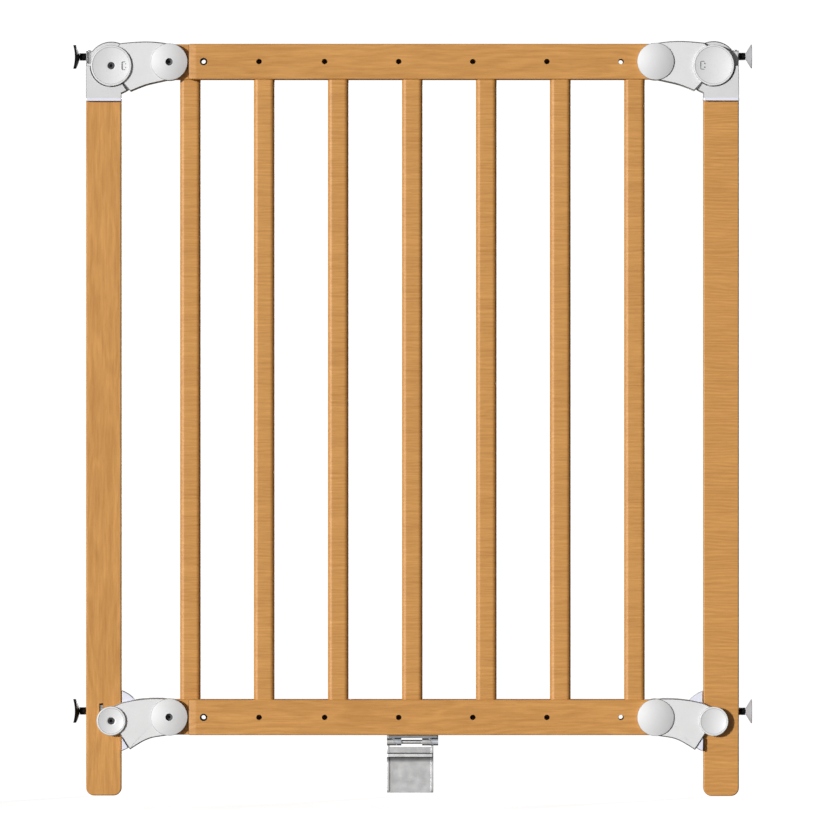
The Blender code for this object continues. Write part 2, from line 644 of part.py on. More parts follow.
def main():
    clear_scene()
    left = shifted(y=FRAME_SPACING / 2)
    build_half("left", "rear", left, BLACK)
    front_body = build_half("right", "front", Matrix.Rotation(math.pi, 4, "Z") @ left, GREY)
    bpy.context.view_layer.update()
    build_foot(front_body)


main()
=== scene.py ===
"""Looks of the extendable wooden safety gate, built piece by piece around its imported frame.

Metres, +Z up, -Y is the front. Both halves are drawn in one space, where y is 0 in the middle of
the timber, -y is the side of the screws and +y the side of the caps; the right half is then turned
half a turn about Z.
"""
import json
import math
import random

import bmesh
import bpy
import numpy as np
from mathutils import Matrix, Vector


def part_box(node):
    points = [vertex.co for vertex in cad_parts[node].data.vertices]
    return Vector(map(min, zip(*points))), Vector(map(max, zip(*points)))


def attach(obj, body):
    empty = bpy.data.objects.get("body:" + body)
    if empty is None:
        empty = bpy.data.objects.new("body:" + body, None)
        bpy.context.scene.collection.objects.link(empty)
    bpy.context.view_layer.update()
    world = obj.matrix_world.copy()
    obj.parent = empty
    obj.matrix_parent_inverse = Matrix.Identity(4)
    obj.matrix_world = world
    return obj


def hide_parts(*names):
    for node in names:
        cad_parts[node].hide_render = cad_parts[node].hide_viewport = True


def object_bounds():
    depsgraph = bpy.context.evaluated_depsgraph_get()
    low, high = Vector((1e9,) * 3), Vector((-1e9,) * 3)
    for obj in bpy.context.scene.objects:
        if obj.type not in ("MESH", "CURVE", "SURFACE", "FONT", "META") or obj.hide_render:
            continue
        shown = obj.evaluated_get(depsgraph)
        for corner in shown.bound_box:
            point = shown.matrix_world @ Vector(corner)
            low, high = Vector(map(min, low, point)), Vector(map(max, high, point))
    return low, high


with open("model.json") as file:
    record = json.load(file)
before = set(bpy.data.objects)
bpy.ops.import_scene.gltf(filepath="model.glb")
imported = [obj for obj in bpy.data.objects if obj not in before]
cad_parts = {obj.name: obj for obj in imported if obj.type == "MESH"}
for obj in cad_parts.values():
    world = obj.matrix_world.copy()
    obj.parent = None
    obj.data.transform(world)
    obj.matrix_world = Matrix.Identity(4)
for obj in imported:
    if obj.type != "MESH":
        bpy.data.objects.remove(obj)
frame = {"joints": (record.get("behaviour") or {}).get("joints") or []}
CAD_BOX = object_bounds()
JOINTS = {joint["name"]: joint for joint in frame["joints"]}

# Places read from the frame
UPPER_POST_PIVOT = Vector(JOINTS["left_upper_arm_swing"]["pos_m"])
LOWER_POST_PIVOT = Vector(JOINTS["left_lower_arm_swing"]["pos_m"])
RAIL_PIVOT = Vector(JOINTS["gate_lift"]["pos_m"])
POST_LOW, POST_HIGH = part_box("left_post")
TOP_RAIL_LOW, TOP_RAIL_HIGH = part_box("rear_top_rail")
LOW_RAIL_LOW, LOW_RAIL_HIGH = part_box("rear_bottom_rail")
BRACKET_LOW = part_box("left_corner_bracket")[0]
FLAP_LOW, FLAP_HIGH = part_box("foot_flap")
LEAF_LOW, LEAF_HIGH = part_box("foot_leaf")
HALF_Y = UPPER_POST_PIVOT.y
LEFT = Matrix.Translation((0, HALF_Y, 0))
HALVES = {"left": LEFT, "right": Matrix.Rotation(math.pi, 4, "Z") @ LEFT}
FRAME_OF = {"left": "rear", "right": "front"}
POST_X, RAIL_X = UPPER_POST_PIVOT.x, RAIL_PIVOT.x
POST_Z = {"upper": UPPER_POST_PIVOT.z, "lower": LOWER_POST_PIVOT.z}
RAIL_Z = {"upper": (TOP_RAIL_LOW.z + TOP_RAIL_HIGH.z) / 2,
          "lower": (LOW_RAIL_LOW.z + LOW_RAIL_HIGH.z) / 2}
RAIL_NAME = {"upper": "top", "lower": "bottom"}
ARM_RISE = RAIL_Z["upper"] - POST_Z["upper"]
# The corner bracket's outer and inner side and its bottom, about its pivot
BRACKET_SIDES = (POST_LOW.x - POST_X, POST_HIGH.x - POST_X, BRACKET_LOW.z - POST_Z["upper"])

# Clearance between pieces, and half the length of a drill
GAP, THROUGH = 0.0003, 0.02
# Points closer than a hair are one, and faces that would coincide are set a hair apart
HAIR = 0.00002

# Timber
FACE = (POST_HIGH.y - POST_LOW.y) / 2
EDGE_ROUND, EDGE_STRETCH = 0.0013, 1.6
SHOULDER_Z = BRACKET_LOW.z - GAP
FOOT_ROUND = 0.008
RAIL_END_X = TOP_RAIL_HIGH.x
RAIL_HALF_HEIGHT = (TOP_RAIL_HIGH.z - TOP_RAIL_LOW.z) / 2
RAIL_END_SLOPE, RAIL_END_FALL, RAIL_END_ROUND = 0.0072, 0.0008, 0.0018
BAR_SPACING = 0.074
BAR_FIRST_X = -3 * BAR_SPACING
BAR_WIDTH, BAR_DEPTH, BAR_ROUND = 0.0205, 0.014, 0.0045
BAR_COUNT = 6
MORTISE_DEPTH = 0.008
JOINT_GAP = 0.00012
BOLT_HOLES_X = (-0.2085, -0.1345, -0.0605, 0.0135, 0.0875, 0.153)
BOLT_HOLE_R = 0.0026
END_HOLE_X, END_HOLE_R = 0.2085, 0.00325
HOLE_CHAMFER = 0.0003

# Mouldings
CHEEK_INNER, CHEEK_OUTER = FACE + 0.0005, FACE + 0.0055
# The rims of the mouldings fall away steeply: width seen from the front, and depth over width
MOULD_ROUND, MOULD_STRETCH = 0.0015, 3.0
STOP_ANGLE = math.radians(-57)
STOP_CLEARANCE = math.radians(0.6)
EYE_R = {"upper": 0.0195, "lower": 0.0144}
EYE_END = {"upper": math.radians(-285), "lower": math.radians(-276)}
ARM_END_R = 0.0184
BORE_R = 0.0045
HEAD_R = 0.0243
GUARD_R = 0.0297
PLATE_R = 0.032
PLATE_HALF_DEPTH = 0.0087
COVER_BACK = CHEEK_OUTER + GAP
COVER_R = {("post", "upper"): 0.0205, ("post", "lower"): 0.0147,
           ("rail", "upper"): 0.0185, ("rail", "lower"): 0.0185}
# How far the mark's face is in front of its cover's back, and how deep the mark is
MARK_FRONT, MARK_DEPTH = 0.0016, 0.0012

# Spindles, pads and nuts
SPINDLE_Z = {"upper": 0.7388, "lower": 0.0844}
SPINDLE_R = 0.0039
PITCH = 0.00125
SPINDLE_INNER_X = -0.298
SPINDLE_BORE_END = -0.2928
PAD_NECK_X = -0.3331
PAD_FACE_X = CAD_BOX[0].x
PAD_R = 0.0119
NUT_X = {"upper": -0.3231, "lower": -0.3111}
NUT_WIDTH, NUT_THICKNESS = 0.013, 0.0032

# Foot
PIN = Vector(JOINTS["foot_fold"]["pos_m"])
PIN_R = 0.0020
KNUCKLE_R = 0.0036
KNUCKLE_SLANT = 0.0023
# Each knuckle's ends, and which of them are slanted
FIXED_KNUCKLES = ((-0.0174, -0.0109, True, False), (0.01905, 0.0259, True, False))
FLAP_KNUCKLES = ((-0.0253, -0.0177, False, True), (0.0098, 0.01875, False, True))
FOOT_SCREWS_X = (-0.0055, 0.0050)
LEAF_THICKNESS = 0.0026
# Heights on the flap over its pin
BAND_BOTTOM, LIP_TOP, LIP_BOTTOM, COVE_BOTTOM = -0.0110, -0.0119, -0.0150, -0.0192

# Sides of a turned shape
FINE, MEDIUM = 64, 32


# ---- outlines ----

def arc(radius, start, end, steps, centre=(0.0, 0.0)):
    """Points along an arc in the x-z plane, both ends included."""
    angles = [start + (end - start) * i / steps for i in range(steps + 1)]
    return [(centre[0] + radius * math.cos(a), centre[1] + radius * math.sin(a)) for a in angles]


def curve(points, steps=8):
    """A smooth curve through the points (Catmull-Rom), both ends included."""
    knots = [Vector(p) for p in points]
    knots = [2 * knots[0] - knots[1], *knots, 2 * knots[-1] - knots[-2]]
    result = []
    for p0, p1, p2, p3 in zip(knots, knots[1:], knots[2:], knots[3:]):
        for t in (i / steps for i in range(steps)):
            bend = 2 * p0 - 5 * p1 + 4 * p2 - p3
            twist = 3 * p1 - p0 - 3 * p2 + p3
            result.append(tuple((2 * p1 + (p2 - p0) * t + bend * t ** 2 + twist * t ** 3) / 2))
    return result + [points[-1]]


def rounded_box(width, height, radius, steps=8):
    """The outline of a rectangle about (0, 0) with round corners."""
    x, z = width / 2 - radius, height / 2 - radius
    outline = []
    for corner, centre in enumerate([(x, z), (-x, z), (-x, -z), (x, -z)]):
        outline += arc(radius, corner * math.pi / 2, (corner + 1) * math.pi / 2, steps, centre)
    return outline


def circle(radius, steps=MEDIUM, centre=(0.0, 0.0)):
    return arc(radius, 0.0, math.tau * (steps - 1) / steps, steps - 1, centre)


def tidy(outline):
    """The outline without points that fall on each other."""
    kept = []
    for point in outline:
        if not kept or (Vector(point) - Vector(kept[-1])).length > HAIR:
            kept.append(point)
    if (Vector(kept[0]) - Vector(kept[-1])).length <= HAIR:
        kept.pop()
    return kept


def inset(outline, distance):
    """The closed outline moved inwards; its corners keep their angle."""
    points = [Vector(p) for p in outline]
    area = sum(a.x * b.y - b.x * a.y for a, b in zip(points, points[1:] + points[:1]))
    turn = 1 if area > 0 else -1
    result = []
    for before, point, after in zip(points[-1:] + points[:-1], points, points[1:] + points[:1]):
        first, second = (point - before).normalized(), (after - point).normalized()
        normals = Vector((-first.y, first.x)), Vector((-second.y, second.x))
        share = 1 + normals[0].dot(normals[1])
        result.append(tuple(point + (normals[0] + normals[1]) / max(share, 0.3) * distance * turn))
    return result


# ---- shapes ----

def loft(rings):
    """A closed solid through rings of equal length, with a flat face on each end."""
    bm = bmesh.new()
    rows = [[bm.verts.new(point) for point in ring] for ring in rings]
    for low, high in zip(rows, rows[1:]):
        for i in range(len(low)):
            bm.faces.new((low[i - 1], low[i], high[i], high[i - 1]))
    bm.faces.new(rows[0])
    bm.faces.new(reversed(rows[-1]))
    return bm


def rim_levels(edge, inwards, rounding, steps, stretch):
    """The rounded rim of a prism as (y, inset) levels, from its face inwards."""
    if not rounding:
        return [(edge, 0.0)]
    angles = [i / steps * math.pi / 2 for i in range(steps + 1)]
    return [(edge + inwards * stretch * rounding * (1 - math.cos(a)), rounding * (1 - math.sin(a)))
            for a in angles]


def prism(outline, near, far, near_round=0.0, far_round=0.0, steps=4, stretch=1.0):
    """A prism of an x-z outline between two y planes, its two rims rounded.

    stretch makes the rounding deeper along y than it is wide.
    """
    outline = tidy(outline)
    levels = rim_levels(near, 1, near_round, steps, stretch)
    levels += reversed(rim_levels(far, -1, far_round, steps, stretch))
    return loft([[(x, y, z) for x, z in (inset(outline, depth) if depth > 1e-7 else outline)]
                 for y, depth in levels])


def box(low, high, edge=0.0):
    """A block between two corners, its front and back rims rounded."""
    outline = [(low[0], low[2]), (high[0], low[2]), (high[0], high[2]), (low[0], high[2])]
    return prism(outline, low[1], high[1], edge, edge, 3)


def lathe(profile, steps=FINE):
    """A solid turned about the y axis from (radius, y) points."""
    bm = bmesh.new()
    ring = [bm.verts.new((radius, y, 0)) for radius, y in profile]
    edges = [bm.edges.new(pair) for pair in zip(ring, ring[1:])]
    bmesh.ops.spin(bm, geom=ring + edges, cent=(0, 0, 0), axis=(0, 1, 0), angle=math.tau, steps=steps)
    return bm


def cylinder(radius, near, far, steps=MEDIUM):
    return prism(circle(radius, steps), near, far)


def moved(bm, matrix):
    bmesh.ops.transform(bm, matrix=matrix, verts=bm.verts)
    return bm


def drill(radius, x=0.0, z=0.0):
    """A cutter along y, longer than any piece is deep."""
    return moved(cylinder(radius, -THROUGH, THROUGH), shifted(x, 0, z))


def joined(*shapes):
    """One bmesh that holds several separate shapes."""
    whole = bmesh.new()
    for shape in shapes:
        mesh = to_mesh(shape, "shape")
        whole.from_mesh(mesh)
        bpy.data.meshes.remove(mesh)
    return whole


def to_mesh(bm, name):
    bmesh.ops.remove_doubles(bm, verts=bm.verts, dist=1e-6)
    bmesh.ops.recalc_face_normals(bm, faces=bm.faces)
    mesh = bpy.data.meshes.new(name)
    bm.to_mesh(mesh)
    bm.free()
    return mesh


def shifted(x=0.0, y=0.0, z=0.0):
    return Matrix.Translation((x, y, z))


# These turn a shape made along +y to run along +x, -x or +z.
ALONG_X = Matrix.Rotation(-math.pi / 2, 4, "Z")
OUTWARD = Matrix.Rotation(math.pi / 2, 4, "Z")
ALONG_Z = Matrix.Rotation(math.pi / 2, 4, "X")


def quarter(radius, centre, start, end, steps=6):
    """Profile points (radius, y) along an arc, angles in degrees from the outward direction."""
    return arc(radius, math.radians(start), math.radians(end), steps, centre)


def new_object(name, data):
    item = bpy.data.objects.new(name, data)
    bpy.context.scene.collection.objects.link(item)
    return item


def settle(item):
    """Turn the object's modifiers into its mesh."""
    depsgraph = bpy.context.evaluated_depsgraph_get()
    item.data = bpy.data.meshes.new_from_object(item.evaluated_get(depsgraph), depsgraph=depsgraph)
    item.modifiers.clear()


def solid(base, unions=(), cuts=(), sharp=38, weighted=True):
    """One mesh from a shape with others joined on and cut away, and its shading settled."""
    item = new_object("solid", to_mesh(base, "solid"))
    tools = []
    for operation, shapes in (("UNION", unions), ("DIFFERENCE", cuts)):
        for shape in shapes:
            tool = new_object("tool", to_mesh(shape, "tool"))
            boolean = item.modifiers.new(operation.lower(), "BOOLEAN")
            boolean.operation = operation
            boolean.solver = "EXACT"
            boolean.object = tool
            tools.append(tool)
    if tools:
        settle(item)
    item.data.shade_smooth()
    item.data.set_sharp_from_angle(angle=math.radians(sharp))
    if weighted:
        item.modifiers.new("weighted", "WEIGHTED_NORMAL").keep_sharp = True
        settle(item)
    mesh = item.data
    for leftover in [item, *tools]:
        bpy.data.objects.remove(leftover)
    return mesh


def turned(profile, steps=FINE, sharp=50):
    """The finished mesh of a shape turned about the y axis."""
    return solid(lathe(profile, steps), sharp=sharp, weighted=False)


def add_piece(name, mesh, look, body, nodes=(), place=Matrix()):
    """Put a finished mesh in the scene as a piece that rides on a body and stands for CAD nodes."""
    item = new_object(name, mesh)
    item.matrix_world = place
    mesh.materials.clear()
    mesh.materials.append(look)
    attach(item, body)
    if nodes:
        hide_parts(*nodes)
    return item


# ---- materials ----

class Look:
    """A short way to write a material's nodes."""

    def __init__(self, name, roughness=0.5, metallic=0.0, **values):
        self.material = bpy.data.materials.new(name)
        self.material.use_nodes = True
        self.tree = self.material.node_tree
        self.shader = self.tree.nodes["Principled BSDF"]
        self.shader.inputs["Roughness"].default_value = roughness
        self.shader.inputs["Metallic"].default_value = metallic
        for key, value in values.items():
            self.shader.inputs[key.replace("_", " ")].default_value = value

    def node(self, kind, inputs=(), **settings):
        node = self.tree.nodes.new(f"ShaderNode{kind}")
        for key, value in settings.items():
            setattr(node, key, value)
        for socket, value in dict(inputs).items():
            self.put(node.inputs[socket], value)
        return node

    def put(self, socket, value):
        if isinstance(value, bpy.types.NodeSocket):
            self.tree.links.new(value, socket)
        else:
            socket.default_value = value

    def set(self, socket, value):
        self.put(self.shader.inputs[socket], value)

    def math(self, operation, a, b=0.0):
        return self.node("Math", {0: a, 1: b}, operation=operation).outputs[0]

    def coordinates(self, output="Object"):
        return self.node("TexCoord").outputs[output]

    def scaled(self, vector, scale):
        return self.node("VectorMath", {0: vector, 1: scale}, operation="MULTIPLY").outputs[0]

    def axis(self, vector, number):
        return self.node("SeparateXYZ", {0: vector}).outputs[number]

    def noise(self, vector, scale, detail=3.0, roughness=0.5):
        inputs = {"Vector": vector, "Scale": scale, "Detail": detail, "Roughness": roughness}
        return self.node("TexNoise", inputs).outputs["Fac"]

    def span(self, value, low, high, to_low=0.0, to_high=1.0):
        inputs = {"Value": value, "From Min": low, "From Max": high, "To Min": to_low, "To Max": to_high}
        return self.node("MapRange", inputs).outputs[0]

    def ramp(self, factor, *stops):
        node = self.node("ValToRGB", {"Fac": factor})
        elements = node.color_ramp.elements
        while len(elements) < len(stops):
            elements.new(0.5)
        for element, (position, colour) in zip(elements, stops):
            element.position = position
            element.color = (*colour, 1.0)
        return node.outputs["Color"]

    def blend(self, factor, a, b, mode="MIX"):
        node = self.node("Mix", data_type="RGBA", blend_type=mode)
        self.put(node.inputs[0], factor)
        self.put(node.inputs[6], a)
        self.put(node.inputs[7], b)
        return node.outputs[2]

    def bump(self, height, strength, distance):
        inputs = {"Height": height, "Strength": strength, "Distance": distance}
        self.set("Normal", self.node("Bump", inputs).outputs["Normal"])


def grey(value):
    return (value, value, value)


def srgb(*values):
    """A linear colour from 0..255 screen values."""
    return tuple((v / 255 / 12.92) if v <= 10 else ((v / 255 + 0.055) / 1.055) ** 2.4 for v in values)


RING_WIDTH = 0.0031


def wood_look(name, light, dark, ring_share=0.6, end_grain_shade_share=1.0):
    """Lacquered wood. The grain attribute's x runs along the fibres, and y-z is the tree's section.

    The share of the tone left on faces across the piece's own x axis, its end grain, is the last argument:
    the end grain painted darker as painted shade at a rail's end.
    """
    look = Look(name, roughness=0.5, Coat_Weight=0.05, Coat_Roughness=0.35)
    grain = look.node("Attribute", attribute_name="grain").outputs["Vector"]

    def layer(along, across, detail=3.0, roughness=0.5):
        return look.noise(look.scaled(grain, (along, across, across)), 1.0, detail, roughness)

    wander = layer(7.0, 34.0, 2.0)
    drift = layer(22.0, 130.0, 3.0)
    section = look.node("CombineXYZ", {1: look.axis(grain, 1), 2: look.axis(grain, 2)}).outputs[0]
    radius = look.node("VectorMath", {0: section}, operation="LENGTH").outputs["Value"]
    radius = look.math("ADD", radius, look.span(wander, 0.0, 1.0, -0.010, 0.010))
    radius = look.math("ADD", radius, look.span(drift, 0.0, 1.0, -0.0022, 0.0022))
    rings = look.math("SINE", look.math("MULTIPLY", radius, math.tau / RING_WIDTH))
    rings = look.span(rings, -1.0, 1.0)
    streaks = layer(26.0, 480.0, 3.0, 0.55)
    fibres = layer(60.0, 1500.0, 3.0, 0.6)
    pores = layer(110.0, 3600.0, 2.0, 0.5)
    patches = layer(9.0, 60.0, 2.0)
    value = look.math("MULTIPLY", rings, ring_share * 0.30)
    for share, marks in ((0.62, streaks), (0.42, fibres), (0.26, patches)):
        value = look.math("ADD", value, look.math("MULTIPLY", marks, share))
    value = look.math("SUBTRACT", value, 0.15 + ring_share * 0.15)
    colour = look.ramp(value, (0.16, dark), (0.84, light))
    flecks = look.span(pores, 0.60, 0.74, 0.0, 0.45)
    deep = tuple(c * 0.62 for c in dark)
    tone = look.blend(flecks, colour, (*deep, 1.0))
    # End grain painted darker: painted shade at the rail's end.
    if end_grain_shade_share < 1:
        facing = look.math("ABSOLUTE", look.axis(look.coordinates("Normal"), 0))
        shade = look.ramp(facing, (0.45, grey(1)), (0.75, grey(end_grain_shade_share)))
        tone = look.blend(1.0, tone, shade, "MULTIPLY")
    look.set("Base Color", tone)
    look.set("Roughness", look.span(value, 0.0, 1.0, 0.60, 0.48))
    relief = look.math("ADD", look.math("MULTIPLY", fibres, 0.6), look.math("MULTIPLY", pores, 0.5))
    look.bump(relief, 0.12, 0.0003)
    return look.material


def plastic_look(name, colour, roughness, speckle=0.02, specular=0.5, rim=1.0):
    """Moulded plastic with a faint spark-eroded texture and a slight cloudiness of tone.

    rim is the share of the tone left on rounded rims: painted shade, dark outlines painted along the rims.
    """
    look = Look(name, roughness=roughness, Specular_IOR_Level=specular)
    place = look.coordinates()
    cloud = look.noise(place, 55.0, 3.0)
    texture = look.noise(place, 2600.0, 2.0, 0.6)
    waves = look.noise(place, 180.0, 2.0)
    low = tuple(c * (1 - speckle) for c in colour)
    high = tuple(min(1.0, c * (1 + speckle)) for c in colour)
    tone = look.ramp(cloud, (0.3, low), (0.7, high))
    # Painted shade along the rounded rims.
    if rim < 1:
        facing = look.math("ABSOLUTE", look.axis(look.coordinates("Normal"), 1))
        shade = look.ramp(facing, (0.10, grey(1)), (0.30, grey(rim)), (0.68, grey(rim)), (0.86, grey(1)))
        tone = look.blend(1.0, tone, shade, "MULTIPLY")
    look.set("Base Color", tone)
    look.set("Roughness", look.span(texture, 0.3, 0.7, roughness - 0.05, roughness + 0.07))
    look.bump(look.math("ADD", look.math("MULTIPLY", texture, 0.5), waves), 0.05, 0.0002)
    return look.material


def metal_look(name, colour, roughness, brushed=(60.0, 2500.0, 2500.0), metallic=1.0, tones=(), specular=0.5):
    """Plated metal with fine brush marks along one axis and a cloudy sheen.

    tones are (height, share) pairs: the share of the tone left at each height of the piece, which paints
    light and shade along its height.
    """
    look = Look(name, roughness=roughness, metallic=metallic, Specular_IOR_Level=specular)
    place = look.coordinates()
    marks = look.noise(look.scaled(place, brushed), 1.0, 3.0, 0.6)
    cloud = look.noise(place, 120.0, 3.0)
    low = tuple(c * 0.88 for c in colour)
    tone = look.ramp(look.math("MULTIPLY", look.math("ADD", marks, cloud), 0.5), (0.32, low), (0.68, colour))
    if tones:
        bottom, top = tones[0][0], tones[-1][0]
        stops = [((z - bottom) / (top - bottom), grey(share)) for z, share in tones]
        shade = look.ramp(look.span(look.axis(place, 2), bottom, top), *stops)
        tone = look.blend(1.0, tone, shade, "MULTIPLY")
    look.set("Base Color", tone)
    look.set("Roughness", look.span(cloud, 0.3, 0.7, roughness - 0.06, roughness + 0.08))
    look.bump(marks, 0.06, 0.0001)
    return look.material


LIGHT_WOOD, DARK_WOOD = srgb(211, 154, 82), srgb(174, 117, 48)
LIGHT_BAR, DARK_BAR = srgb(215, 158, 86), srgb(168, 111, 43)
# The rails' end grain is painted darker, painted shade at their ends.
RAIL_WOOD = wood_look("lacquered_rail_wood", LIGHT_WOOD, DARK_WOOD, end_grain_shade_share=0.3)
WOOD = wood_look("lacquered_wood", LIGHT_WOOD, DARK_WOOD)
BAR_WOOD = wood_look("lacquered_bar_wood", LIGHT_BAR, DARK_BAR, 0.25)
# The rim shares below paint shade along the rounded rims of the white mouldings.
WHITE = plastic_look("white_moulded_plastic", grey(0.69), 0.42, rim=0.28)
COVER_WHITE = plastic_look("white_cover_plastic", grey(0.69), 0.42, rim=0.45)
# The domes' white is a darker copy of the same white plastic, painted shade; the bracket's white below is
# darker too.
DOME_WHITE = plastic_look("white_dome_plastic", grey(0.65), 0.55, rim=0.45)
BRACKET_WHITE = plastic_look("white_bracket_plastic", grey(0.62), 0.42, rim=0.35)
# The collar's lighter, bluer white is painted light, a lit lip under the bracket; the lower hinge plates use
# it too.
LIP_WHITE = plastic_look("white_collar_plastic", (0.72, 0.73, 0.82), 0.3)
# The mark's grey is painted shade, the shadow along its embossed ridges.
MARK_GREY = plastic_look("grey_mark_plastic", (0.30, 0.31, 0.32), 0.4)
# Black as painted shade: the left pads are the grey right pads shown unlit, and the rail-end bushes show the
# dark ring of shade in their holes.
SHADE_BLACK = plastic_look("black_painted_shade_plastic", (0.004, 0.004, 0.0045), 0.6, 0.2, specular=0.2)
GREY = plastic_look("grey_pad_rubber", (0.42, 0.42, 0.43), 0.6, 0.08, specular=0.3)
THREAD = metal_look("black_thread_steel", (0.003, 0.003, 0.0035), 0.65, metallic=0.0, specular=0.15)
# Shares of tone as (height over the pin, share), painting light and shade. Up the flap they are its plate,
# painted shadow in the hollow under the lip, the lip painted lighter than the plate as a highlight, painted
# shade in the crease above it, the band, and painted shade along the knuckles' tops and bottoms.
FLAP_PAINTED_LIGHT_AND_SHADE = ((-0.0205, 0.76), (-0.0180, 0.28), (-0.0154, 0.12), (LIP_BOTTOM, 0.15),
              (LIP_BOTTOM + 0.0002, 1.0), (LIP_TOP - 0.0002, 1.0), (LIP_TOP, 0.15), (BAND_BOTTOM, 0.15),
              (BAND_BOTTOM + 0.0002, 0.76), (-0.0037, 0.76), (-0.0035, 0.10), (-0.0026, 0.12),
              (-0.0022, 0.76), (0.0019, 0.76), (0.0023, 0.12), (0.0036, 0.10))
ZINC = metal_look("zinc_plated_steel", grey(0.88), 0.40, metallic=0.6, tones=FLAP_PAINTED_LIGHT_AND_SHADE)
NUT_ZINC = metal_look("bright_nut_steel", (0.78, 0.80, 0.80), 0.32)
# Shares of tone as (height over the pin, share): painted shade along the knuckles' undersides, and the leaf's
# plate above them darker.
LEAF_PAINTED_SHADE = ((-0.0036, 0.08), (-0.0025, 0.12), (-0.0021, 0.78), (0.0036, 0.78), (0.0040, 0.34),
              (0.0080, 0.34))
LEAF_ZINC = metal_look("zinc_leaf_steel", (0.84, 0.88, 0.93), 0.42, metallic=0.6, tones=LEAF_PAINTED_SHADE)
# Shares of tone as (height over the pin's axis, share): painted shade along the pin's top and bottom.
PIN_PAINTED_SHADE = ((-0.0020, 0.15), (-0.0010, 0.30), (-0.0006, 1.0), (0.0006, 1.0), (0.0010, 0.10), (0.0020, 0.05))
PIN_ZINC = metal_look("zinc_pin_steel", grey(0.90), 0.35, metallic=0.6, tones=PIN_PAINTED_SHADE)
# The screw heads' dark is their steel and also painted shade: each head fills its cover's shallow recess and
# is darkened to show it deep in shade.
SCREW = metal_look("dark_screw_steel", (0.07, 0.07, 0.074), 0.5, (1500.0, 1500.0, 1500.0), metallic=0.7)


# ---- timber ----

def set_grain(mesh, along, draw):
    """Store where each point lies in its tree: x along the fibres, y-z across, off the pith."""
    order = {"x": (0, 2, 1), "z": (2, 0, 1)}[along]
    points = np.empty(len(mesh.vertices) * 3)
    mesh.vertices.foreach_get("co", points)
    points = points.reshape(-1, 3)[:, order]
    points -= points.mean(axis=0)
    points += (draw.uniform(0.5, 9.5), draw.uniform(-0.012, 0.012), draw.uniform(0.022, 0.05))
    stored = mesh.attributes.new("grain", "FLOAT_VECTOR", "POINT")
    stored.data.foreach_set("vector", points.ravel())


def spindle_cutters(outer_x, inner_x, nut_x, z):
    """The spindle's bore from outside the post to its inner end, and its nut's slot."""
    bore = moved(cylinder(SPINDLE_R + GAP, outer_x - 0.01, inner_x), shifted(z=z) @ ALONG_X)
    half_nut, half_slot = NUT_THICKNESS / 2 + GAP, NUT_WIDTH / 2 + GAP
    slot = box((nut_x - half_nut, -0.018, z - half_slot),
               (nut_x + half_nut, half_slot, z + half_slot + 0.001))
    return bore, slot


def post_mesh():
    """The post with its round foot, square shoulder, tenon, pivot bore, spindle bore and nut slot."""
    left, right = POST_LOW.x, POST_HIGH.x
    top = SHOULDER_Z + 0.02
    outline = [(right, top), (left, top)]
    outline += arc(FOOT_ROUND, math.pi, 1.5 * math.pi, 12, (left + FOOT_ROUND, FOOT_ROUND))
    outline += arc(FOOT_ROUND, 1.5 * math.pi, math.tau, 12, (right - FOOT_ROUND, FOOT_ROUND))
    body = prism(outline, -FACE, FACE, EDGE_ROUND, EDGE_ROUND, 5, EDGE_STRETCH)
    middle = (left + right) / 2
    tenon = box((middle - 0.0135, -0.006, SHOULDER_Z - 0.01), (middle + 0.0135, 0.006, POST_HIGH.z))
    cut_top = box((left - 0.01, -THROUGH, SHOULDER_Z), (right + 0.01, THROUGH, top + 0.01))
    bore, slot = spindle_cutters(left, SPINDLE_BORE_END, NUT_X["lower"], SPINDLE_Z["lower"])
    pegs = [moved(cylinder(0.0033, right - 0.0131, right + 0.002),
                  shifted(z=POST_Z["lower"] + side * 0.020) @ ALONG_X) for side in (-1, 1)]
    trimmed = solid(body, cuts=[cut_top])
    whole = bmesh.new()
    whole.from_mesh(trimmed)
    return solid(whole, unions=[tenon],
                 cuts=[joined(drill(BORE_R, POST_X, POST_Z["lower"]), bore), slot, joined(*pegs)])


def hole_cutter(radius):
    """A drill for a through hole with a small chamfer at both faces."""
    flare = radius + HOLE_CHAMFER
    profile = [(0.0, -THROUGH), (flare + 0.01, -THROUGH), (flare, -FACE - HAIR),
               (radius, -FACE + HOLE_CHAMFER)]
    profile += [(r, -y) for r, y in reversed(profile)]
    return lathe(profile, MEDIUM)


